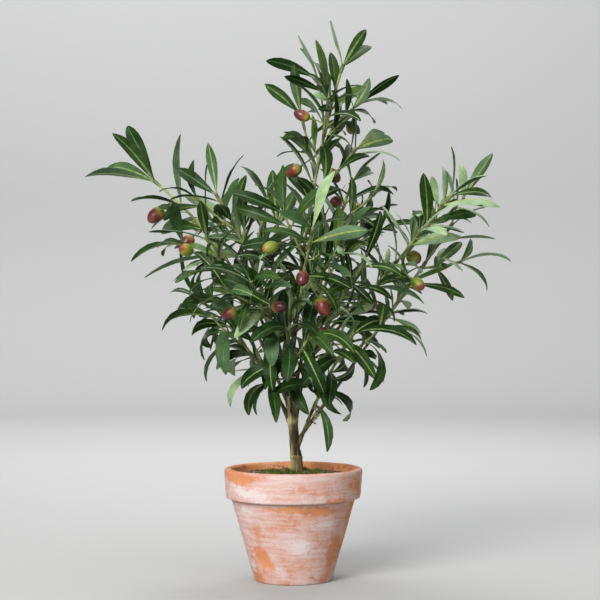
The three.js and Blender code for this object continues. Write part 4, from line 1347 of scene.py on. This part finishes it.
def trunkFinish():
    # moulded stem: tan flutes, a dark glossy length, a yellow joint with a painted highlight, a pale
    # sheath, and painted shade darkening the streaks towards the right
    look = plasticLook
    bark = Finish("trunkPlastic", look["roughness"][0], look["specular"])
    x, _, z = bark.split(bark.place())
    wobble = bark.remap(bark.noise(look["wobbleScale"]), *noiseSpan, *look["wobble"])
    low, high = trunkTones[0][0], trunkTones[-1][0]
    share = bark.remap(bark.calculate("ADD", z, wobble), low * mm, high * mm, kind="LINEAR")
    lightTone, darkTone = (
        bark.ramp(share, [((tones[0] - low) / (high - low), tones[i]) for tones in trunkTones])
        for i in (1, 2))
    streaks = bark.noise(*look["streaks"])
    # painted shade on the side away from the light
    right = bark.remap(x, *look["paintedShadeFrom"], kind="LINEAR")
    streaksWithPaintedShade = bark.calculate("SUBTRACT", streaks, bark.calculate("MULTIPLY", right, look["paintedShade"]))
    bark.set("Base Color", bark.blend(bark.remap(streaksWithPaintedShade, *look["streakSpan"]), darkTone, lightTone))
    bark.set("Roughness", bark.remap(streaks, *noiseSpan, *look["roughness"]))
    bark.bump(bark.noise(*look["fibre"]), *look["fibreBump"])
    bark.bump(bark.noise(look["grain"]), *look["grainBump"])
    return bark.material


def makeTrunk():
    count, low, high = trunkLook["rings"], trunkShape["foot"][2], trunkShape["fork"][2]
    heights = [mix(low, high, k / count) for k in range(count + 1)]

    def hollowTop():
        bpy.ops.mesh.inset(thickness=trunkLook["lip"] * mm)
        sink = (0, 0, -trunkLook["sink"] * mm)
        bpy.ops.mesh.extrude_region_move(TRANSFORM_OT_translate={"value": sink})

    rings = [(trunkRadius(z), trunkPoint(z)) for z in heights]
    piece = turnSolid("trunkBark", rings, trunkLook["sides"], "NGON", hollowTop)
    relieve(piece, trunkRelief, trunkLook["crease"], trunkFinish())
    seat(piece, "trunk", "trunk")
    print("trunk:", len(piece.data.polygons), "faces")


# Boughs: the bare lengths of the limbs, with bark relief

boughLook = {
    "sides": 12, "steps": 34, "root": 3.5, "beyond": 1.0, "swell": 0.35, "swellFade": 9,
    "knots": 0.68, "knotScale": (7.3, 9), "bark": (0.55, 0.16),
    "tones": ((0.022, 0.013, 0.005), (0.2, 0.16, 0.065), 0.4, 330.0, 0.16),
}


def makeBoughs():
    look, parts = boughLook, newParts()
    apart, along = look["knotScale"]
    for number, spray in enumerate(sprays):
        path = spray["bough"]
        tangents = tangentsOf(path)
        root = path[0] - tangents[0] * look["root"]
        fine = finePath([root, *path[:-1], path[-1] + tangents[-1] * look["beyond"]], look["steps"])
        radii = []
        for k in range(len(fine)):
            share = k / (len(fine) - 1)
            knot = max(0, noise.noise(Vector((number * apart, share * along, 0)))) ** 2
            radius = limbRadius(spray, share * spray["joint"]) * (1 + look["knots"] * knot)
            radii.append(radius + look["swell"] * math.exp(-share * look["swellFade"]))
        points, faces, marks = tube(fine, radii, look["sides"])
        for i, point in enumerate(points):
            outward = unit(point - fine[i // look["sides"]])
            points[i] = point + outward * unevenness(point, *look["bark"])
        addPart(parts, points, faces, 0, marks)
    piece = joinParts("boughBark", parts, [stemFinish("boughBark", *look["tones"])])
    seat(piece, "stems", *masses("bough_", sprays))
    print("boughs:", len(sprays))


# Tie: a thin moulded wire wound round the low right bough, its two ends bent to hooks

tieLook = {
    "spray": "right_arm_low", "share": 0.225, "places": 40,
    "turns": 3.6, "steps": 12, "start": 0.6, "pitch": 1.9, "wire": 0.8, "sides": 6, "bite": 0.2,
    "hookR": 2.9, "hookTurn": 235, "hookSteps": 8,
    "sprigs": (13, 9), "sprigWay": (0.6, 0.5), "sprigBend": (0.55, 0.85, 0.4), "sprigSteps": 6,
    "sprigR": (0.85, 0.5), "tones": ((0.4, 0.39, 0.13), (0.62, 0.62, 0.27), 0.4),
}


def hookPath(start, inner, centre):
    # a bent end that carries on along the turn and curls away from the bough
    forward, outward = unit(start - inner), unit(start - centre)
    angles = [rad(tieLook["hookTurn"]) * k / tieLook["hookSteps"]
              for k in range(1, tieLook["hookSteps"] + 1)]
    return [start + forward * (tieLook["hookR"] * math.sin(angle))
            + outward * (tieLook["hookR"] * (1 - math.cos(angle))) for angle in angles]


def makeTie():
    look, parts = tieLook, newParts()
    spray = next(spray for spray in sprays if spray["name"] == look["spray"])
    path = finePath(spray["bough"], look["places"])
    index = round(look["places"] * look["share"])
    centre, tangent = path[index], tangentsOf(path)[index]
    u = across(tangent, 0)
    v = np.cross(tangent, u)
    radius = limbRadius(spray, look["share"] * spray["joint"]) + look["wire"] - look["bite"]
    turns = []
    for k in range(round(look["turns"] * look["steps"]) + 1):
        angle = fullTurn * k / look["steps"] + look["start"]
        along = (k / look["steps"] - look["turns"] / 2) * look["pitch"]
        outward = u * math.cos(angle) + v * math.sin(angle)
        turns.append(centre + tangent * along + outward * radius)
    first, last = hookPath(turns[0], turns[1], centre), hookPath(turns[-1], turns[-2], centre)
    wire = first[::-1] + turns + last
    addTube(parts, wire, [look["wire"]] * len(wire), look["sides"])
    forward, rise = look["sprigWay"]
    bend, out, on = look["sprigBend"]
    for number, length in enumerate(look["sprigs"]):
        side = unit(u * (1 - 2 * number) + tangent * forward + up * rise)
        root = centre + side * (radius - look["wire"])
        tip = root + side * length * out + tangent * length * on
        sprig = [root, root + side * length * bend, tip]
        radii = np.linspace(*look["sprigR"], look["sprigSteps"] + 1)
        addTube(parts, finePath(sprig, look["sprigSteps"]), radii, look["sides"])
    piece = joinParts("boughTie", parts, [stemFinish("tieGreen", *look["tones"])])
    seat(piece, "stems", "bough_" + spray["name"])
    print("tie:", len(wire), "points")


# Pot: thrown clay with a worn whitewash

potShape = {
    "height": 120.5, "rimR": 75, "mouthR": 66, "collarHeight": 32, "collarFootR": 72.3,
    "bodyTopR": 67, "baseR": 42, "floor": 9, "innerFloorR": 36, "flat": 6, "innerFlat": 8,
    "footRound": 1.6, "neckRound": 1.2, "lipRound": 2.2, "rimRound": 3.4, "mouthRound": 3.0,
    "floorRound": 2.5, "roundSteps": 4, "longest": 3.1, "sides": 104, "creaseAngle": 50,
    "turning": (0.13, 0.9, 0.55), "wobble": (0.35, 1.3, 0.026), "pits": (0.5, 0.42, 0.42),
    # crease: the width in mm of the painted shadow under the collar
    "smoothFoot": 3, "crease": 1.3,
}
potHeight, potFloor = potShape["height"], potShape["floor"]
collarFoot = potHeight - potShape["collarHeight"]
wallSlope = (potShape["mouthR"] - potShape["innerFloorR"]) / (potHeight - potFloor)

# worn and whitened places on the pot's front, in mm: x and z of the middle, the half sizes, and how
# much more whitewash there is (less where it is negative). The bare blots at the right edge, at x 68
# and 57, are bare clay and also painted shade darkening that side.
potBlots = [
    (-62, 112.5, 20, 6.5, -0.64), (-47, 116, 10, 4, -0.34), (-56, 101, 22, 5, 0.42),
    (-33, 93, 13, 6.5, 0.42), (24, 93, 13, 5, 0.36), (8, 106, 5, 11, -0.14), (4, 83, 25, 3.2, -0.46),
    (27, 81.5, 20, 3.8, -0.5), (44, 92, 16, 3, -0.38), (68, 108, 10, 14, -0.5),
    (57, 60, 10, 36, -0.55), (43, 34, 9, 18, -0.4), (-38, 58, 7, 22, -0.14),
    (-31, 27, 10, 11, -0.59), (-27, 20, 6, 9, -0.42), (-36, 7, 8, 9, -0.34),
    (14, 22, 17, 11, -0.28), (36, 12, 7, 13, -0.4), (-42, 20, 5, 8, 0.42), (-15, 12, 8, 8, 0.38),
    (8, 45, 20, 12, 0.26), (34, 66, 14, 9, 0.3), (-48, 76, 13, 10, 0.21),
]

# the noises that make up the whitewash, the share of each, from where it covers the clay, and how
# strongly each layer shows; warps push the blots about, by scale, detail and reach
washLook = {
    "roughness": 0.86, "specular": 0.22, "warps": ((45.0, 5.0, 0.022), (260.0, 5.0, 0.007)),
    "noises": ((30.0, 8.0, (1, 1, 1.2), 0.65), (70.0, 6.0, (0.5, 0.5, 4.5), 0.65),
               (330.0, 5.0, (1, 1, 1.5), 0.7), (190.0, 4.0, (0.35, 0.35, 5.0), 0.6)),
    "clouds": 1.6, "strokes": 0.48, "specks": 0.8, "insideLess": 0.55, "insideSpan": (0.003, 0.0065),
    "blotFade": (0.3, 1.6), "cover": (1.0, 1.55), "thick": (1.48, 2.05), "chalkSpan": (0.34, 0.66),
    "coverWeight": 0.9, "thickWeight": 0.85, "stainWeight": 0.5, "creaseShadowWeight": 0.5,
    "speckWeight": (0.6, 0.78, 0.0, 0.6), "scratchWeight": (0.62, 0.72, 0.0, 0.4),
    "stainNoise": (200.0, 5.0), "stainSpan": (0.56, 0.68),
    "strokeBump": (0.4, 0.0007), "speckBump": (0.6, 0.0006), "coverBump": (0.3, 0.0004),
    "clay": ((0.58, 0.22, 0.1), (0.78, 0.35, 0.165)), "speck": (0.34, 0.12, 0.06),
    "chalk": ((0.66, 0.415, 0.365), (0.69, 0.54, 0.535)), "white": (0.78, 0.7, 0.68),
    "scratch": (0.46, 0.17, 0.11), "stain": (0.13, 0.05, 0.035), "creaseShadowPainted": (0.2, 0.085, 0.055),
}


def potWallR(z):
    # the radius of the pot's outside at a height
    if z < collarFoot:
        return mix(potShape["baseR"], potShape["bodyTopR"], z / collarFoot)
    share = (z - collarFoot) / potShape["collarHeight"]
    return mix(potShape["collarFootR"], potShape["rimR"], share)


def potFinish():
    # clay with a thin whitewash: brushed round the pot, rubbed off in patches, chalky where thick,
    # with a painted shadow under the collar
    look, pot = washLook, Finish("washedClay", washLook["roughness"], washLook["specular"])
    warped = pot.place()
    for scale, detail, reach in look["warps"]:
        inputs = {"Vector": pot.place(), "Scale": scale, "Detail": detail}
        centred = pot.vectors("SUBTRACT", pot.add("TexNoise", inputs)["Color"], (0.5, 0.5, 0.5))
        pushed = pot.vectors("MULTIPLY", centred, (reach, reach, reach))
        warped = pot.vectors("ADD", warped, pushed)
    clouds, strokes, specks, scratches = (pot.noise(*settings) for settings in look["noises"])
    wash = pot.calculate("MULTIPLY", clouds, look["clouds"])
    wash = pot.calculate("MULTIPLY_ADD", strokes, look["strokes"], wash)
    wash = pot.calculate("MULTIPLY_ADD", specks, look["specks"], wash)
    for x, z, wide, high, more in potBlots:
        y = -math.sqrt(max(0, potWallR(z) ** 2 - x * x))
        offset = pot.vectors("SUBTRACT", warped, (x * mm, y * mm, z * mm))
        shrink = tuple(1 / (size * mm) for size in (wide, wide, high))
        far = pot.distance(pot.vectors("MULTIPLY", offset, shrink))
        wash = pot.calculate("ADD", wash, pot.remap(far, *look["blotFade"], more, 0.0))
    x, y, z = pot.split(warped)
    out = pot.distance(pot.add("CombineXYZ", {"X": x, "Y": y})["Vector"])
    wall = pot.calculate("MULTIPLY_ADD", z, wallSlope,
                         (potShape["innerFloorR"] - wallSlope * potFloor) * mm)
    inside = pot.remap(pot.calculate("SUBTRACT", out, wall), *look["insideSpan"], 1.0, 0.0)
    wash = pot.calculate("SUBTRACT", wash, pot.calculate("MULTIPLY", inside, look["insideLess"]))
    cover, thick = pot.remap(wash, *look["cover"]), pot.remap(wash, *look["thick"])
    stains = pot.remap(pot.noise(*look["stainNoise"]), *look["stainSpan"])
    stains = pot.calculate("MULTIPLY", stains, pot.calculate("MULTIPLY", inside, look["stainWeight"]))
    # painted shadow: a dark band just under the collar's lip, where its overhang shades the body
    crease = potShape["crease"] * mm
    below = pot.calculate("SUBTRACT", pot.split(pot.place())["Z"], collarFoot * mm - crease / 2)
    close = pot.remap(pot.calculate("ABSOLUTE", below), 0.0, crease, look["creaseShadowWeight"], 0.0)
    colour = pot.blend(pot.remap(clouds, *noiseSpan), *look["clay"])
    for factor, over in (
            (pot.remap(specks, *look["speckWeight"]), look["speck"]),
            (pot.calculate("MULTIPLY", cover, look["coverWeight"]),
             pot.blend(pot.remap(strokes, *look["chalkSpan"]), *look["chalk"])),
            (pot.calculate("MULTIPLY", thick, look["thickWeight"]), look["white"]),
            (pot.remap(scratches, *look["scratchWeight"]), look["scratch"]),
            (stains, look["stain"]), (close, look["creaseShadowPainted"])):
        colour = pot.blend(factor, colour, over)
    pot.set("Base Color", colour)
    pot.bump(strokes, *look["strokeBump"])
    pot.bump(specks, *look["speckBump"])
    pot.bump(cover, *look["coverBump"])
    return pot.material


def makePot():
    shape = potShape
    corners = [
        (shape["baseR"] - shape["flat"], 0, 0), (shape["baseR"], 0, shape["footRound"]),
        (shape["bodyTopR"], collarFoot, shape["neckRound"]),
        (shape["collarFootR"], collarFoot, shape["lipRound"]),
        (shape["rimR"], potHeight, shape["rimRound"]),
        (shape["mouthR"], potHeight, shape["mouthRound"]),
        (shape["innerFloorR"], potFloor, shape["floorRound"]),
        (shape["innerFloorR"] - shape["innerFlat"], potFloor, 0),
    ]
    rings = roundCorners(corners, shape["roundSteps"], shape["longest"])
    piece = turnSolid("clayPot", rings, shape["sides"])
    modifier = piece.modifiers.new("smooth", "SUBSURF")
    modifier.levels = modifier.render_levels = 1
    bpy.ops.object.modifier_apply(modifier=modifier.name)

    def relief(place, normal):
        around = Vector(level(math.atan2(place.y, place.x)))
        height = 0
        for size, wide, high in (shape["turning"], shape["wobble"]):
            height += size * noise.noise(around * wide + Vector((0, 0, place.z * high)))
        size, scale, least = shape["pits"]
        height -= size * max(0, noise.noise(Vector(place) * scale) - least)
        return height * min(1, place.z / shape["smoothFoot"])

    relieve(piece, relief, shape["creaseAngle"], potFinish())
    seat(piece, "terracotta", "pot")
    print("pot:", len(piece.data.polygons), "faces")


# Filling and moss

speckLook = {"specular": 0.2, "finer": 3, "detail": 4.0, "bump": (0.6, 0.0004)}

fillShape = {
    "level": 112.5, "clear": 0.3, "sides": 96, "middleR": 3.0, "flat": 8, "edgeRound": 0.8,
    "roundSteps": 2, "longest": 2.6, "creaseAngle": 50, "relief": ((0.88, 0.11), (0.495, 0.4)),
    "tones": ((0.07, 0.045, 0.028), (0.2, 0.14, 0.095), 0.95, 260.0),
    "grains": 900, "grainR": (0.45, 1.35), "sizes": 2.2, "outerR": 62, "inner": 0.28, "sunk": 0.25,
    "wide": (0.7, 1.3), "flatness": (0.5, 0.9), "uneven": (0.8, 1.15), "grainCrease": 25,
    "grainFinish": (0.95, 500.0), "seed": 61,
}
mossShape = {
    "innerR": 8.4, "outerR": 40, "height": 3.6, "edge": ((3, 1.2), (0, 0.6)), "sides": 96,
    "shares": (0.97, 0.85, 0.7, 0.5, 0.3, 0.1), "full": 0.78, "low": 0.25, "steep": 3.2,
    "roundSteps": 2, "longest": 1.6, "creaseAngle": 60, "relief": ((0.9, 0.3), (0.4, 0.9)),
    "waves": [(3, 0.06, 0.4), (7, 0.045, 1.9)],   # count, size and turn of the outline's swings
    "blades": 8200, "length": (1.3, 4.0), "bladeR": 0.4, "thick": (0.7, 1.3), "fray": 1.1,
    "spread": (0.03, 1.08), "within": 0.75, "beyond": 1.04, "sunk": 0.5, "rise": (0.5, 1.5),
    "clumps": (0.085, 3.4), "clumpLow": 0.5, "outerLength": 0.7, "seed": 83,
    "bed": ((0.05, 0.075, 0.012), (0.13, 0.17, 0.03), 1.0, 420.0), "bladeFinish": (0.9, 300.0),
}
grainTones = {
    "grainBrown": ((0.1, 0.06, 0.035), (0.2, 0.13, 0.08)),
    "grainTan": ((0.25, 0.18, 0.12), (0.38, 0.29, 0.2)),
    "grainDark": ((0.03, 0.02, 0.013), (0.07, 0.045, 0.03)),
    "grainRed": ((0.2, 0.07, 0.045), (0.3, 0.12, 0.08)),
}
mossTones = {
    "mossDeep": ((0.018, 0.036, 0.008), (0.045, 0.078, 0.015)),
    "mossMid": ((0.045, 0.085, 0.014), (0.1, 0.155, 0.026)),
    "mossBright": ((0.14, 0.21, 0.026), (0.26, 0.34, 0.05)),
    "mossOlive": ((0.1, 0.1, 0.028), (0.19, 0.18, 0.05)),
    "mossDry": ((0.15, 0.1, 0.05), (0.28, 0.2, 0.1)),
}


def speckFinish(name, dark, light, roughness, scale):
    finish = mottled(name, dark, light, roughness, speckLook["specular"], scale)
    fine = finish.noise(scale * speckLook["finer"], speckLook["detail"])
    finish.bump(fine, *speckLook["bump"])
    return finish.material


def waviness(place, layers):
    return sum(size * noise.noise(place * scale) for size, scale in layers)


def oneOf(tones, draw):
    # the number of a tone, dealt at random; a draw can reach its upper end, so that lies lower
    return int(draw(0, len(tones) - 0.01))


def makeFilling():
    shape = fillShape
    low, top = potFloor + shape["clear"], shape["level"]
    lowR, topR = (potShape["innerFloorR"] + wallSlope * (z - potFloor) - shape["clear"]
                  for z in (low, top))
    corners = [(lowR - shape["flat"], low, 0), (lowR, low, 0), (topR, top, shape["edgeRound"]),
               (shape["middleR"], top, 0)]
    rings = roundCorners(corners, shape["roundSteps"], shape["longest"])
    piece = turnSolid("driedFilling", rings, shape["sides"])

    def height(x, y):
        return waviness(Vector((x, y, 0)), shape["relief"])

    relieve(piece, lambda place, normal: height(place.x, place.y) if normal.z > 0.5 else 0,
            shape["creaseAngle"], speckFinish("dryFilling", *shape["tones"]))
    seat(piece, "filling", "filling")
    grains, draw = newParts(), makeRandom(shape["seed"])
    corner = (1 + math.sqrt(5)) / 2
    ball = np.array([(-1, corner, 0), (1, corner, 0), (-1, -corner, 0), (1, -corner, 0),
                     (0, -1, corner), (0, 1, corner), (0, -1, -corner), (0, 1, -corner),
                     (corner, 0, -1), (corner, 0, 1), (-corner, 0, -1), (-corner, 0, 1)])
    ball /= math.hypot(1, corner)
    sides = [(0, 11, 5), (0, 5, 1), (0, 1, 7), (0, 7, 10), (0, 10, 11), (1, 5, 9), (5, 11, 4),
             (11, 10, 2), (10, 7, 6), (7, 1, 8), (3, 9, 4), (3, 4, 2), (3, 2, 6), (3, 6, 8),
             (3, 8, 9), (4, 9, 5), (2, 4, 11), (6, 2, 10), (8, 6, 7), (9, 8, 1)]
    for _ in range(shape["grains"]):
        angle, out = draw(0, fullTurn), shape["outerR"] * math.sqrt(draw(shape["inner"], 1))
        centre = level(angle) * out
        size = mix(*shape["grainR"], draw() ** shape["sizes"])
        form = np.array([draw(*shape[name]) for name in ("wide", "wide", "flatness")]) * size
        centre[2] = top + height(centre[0], centre[1]) + size * shape["sunk"]
        points = [centre + point * form * draw(*shape["uneven"]) for point in ball]
        addPart(grains, points, sides, oneOf(grainTones, draw))
    tones = [speckFinish(name, *pair, *shape["grainFinish"]) for name, pair in grainTones.items()]
    seat(joinParts("fillingGrains", grains, tones, shape["grainCrease"]), "filling", "filling")
    print("filling:", shape["grains"], "grains")


def mossReach(angle):
    # how far the moss goes out at an angle round the trunk
    swings = [swing * math.sin(count * angle + turn) for count, swing, turn in mossShape["waves"]]
    return mossShape["outerR"] * (1 + sum(swings))


def mossHeight(share):
    # the cushion's height at a share of the way out
    fall = 1 - max(0, share) ** mossShape["steep"]
    return mossShape["height"] * fall * mossShape["full"] + mossShape["low"]


def makeMoss():
    shape, foot = mossShape, trunkShape["foot"] * (1, 1, 0)
    outerR, base = shape["outerR"], fillShape["level"] + fillShape["clear"]
    corners = [(outerR - less, base - down, 0) for less, down in shape["edge"]]
    corners += [(shape["innerR"] + (outerR - shape["innerR"]) * share, base + mossHeight(share), 0)
                for share in shape["shares"]]
    rings = roundCorners(corners, shape["roundSteps"], shape["longest"])
    piece = turnSolid("mossCushion", rings, shape["sides"])
    for vertex in piece.data.vertices:
        angle = math.atan2(vertex.co.y, vertex.co.x)
        out = math.hypot(vertex.co.x, vertex.co.y) / (outerR * mm)
        stretch = 1 + out * (mossReach(angle) / outerR - 1)
        vertex.co.x = vertex.co.x * stretch + foot[0] * mm
        vertex.co.y = vertex.co.y * stretch + foot[1] * mm
    piece.data.update()

    def relief(place, normal):
        return max(0, normal.z) * waviness(Vector(place), shape["relief"])

    relieve(piece, relief, shape["creaseAngle"], speckFinish("mossBed", *shape["bed"]))
    seat(piece, "moss", "moss")
    blades, draw = newParts(), makeRandom(shape["seed"])
    (scale, lift), low = shape["clumps"], shape["clumpLow"]
    faces = [(0, 1, 3), (1, 2, 3), (2, 0, 3), (2, 1, 0)]
    for _ in range(shape["blades"]):
        angle, share = draw(0, fullTurn), math.sqrt(draw(*shape["spread"]))
        out = mix(shape["innerR"] * shape["within"], mossReach(angle), min(share, shape["beyond"]))
        root = foot + level(angle) * out
        root[2] = base + mossHeight(min(share, 1)) - shape["sunk"]
        lean = np.array([draw(-1, 1), draw(-1, 1), draw(*shape["rise"])])
        way = unit(lean + level(angle) * shape["fray"] * share ** 3)
        clump = low + max(0, low + lift * noise.noise(Vector(root) * scale))
        tip = root + way * draw(*shape["length"]) * mix(1, shape["outerLength"], share) * clump
        size = shape["bladeR"] * draw(*shape["thick"])
        u = across(way, draw(0, fullTurn))
        v = np.cross(way, u)
        ring = [root + (u * math.cos(turn) + v * math.sin(turn)) * size
                for turn in (0, fullTurn / 3, fullTurn * 2 / 3)]
        addPart(blades, ring + [tip], faces, oneOf(mossTones, draw))
    tones = [speckFinish(name, *pair, *shape["bladeFinish"]) for name, pair in mossTones.items()]
    seat(joinParts("mossTufts", blades, tones), "moss", "moss")
    print("moss:", shape["blades"], "blades")


makeCamera()
makeLights()
makeStage()
print("camera, lights and floor")

tree = growTwigs()
growOlives(tree)
growLeaves(tree)
growShoots(tree)
print("grown:", sum(len(spray["leaves"]) for spray in sprays), "leaves and",
      sum(len(spray["smallLeaves"]) for spray in sprays), "small ones")

for makePiece in (makePot, makeFilling, makeMoss, makeTrunk, makeBoughs, makeTie, makeStems,
                  makeLeaves, makeOlives):
    makePiece()
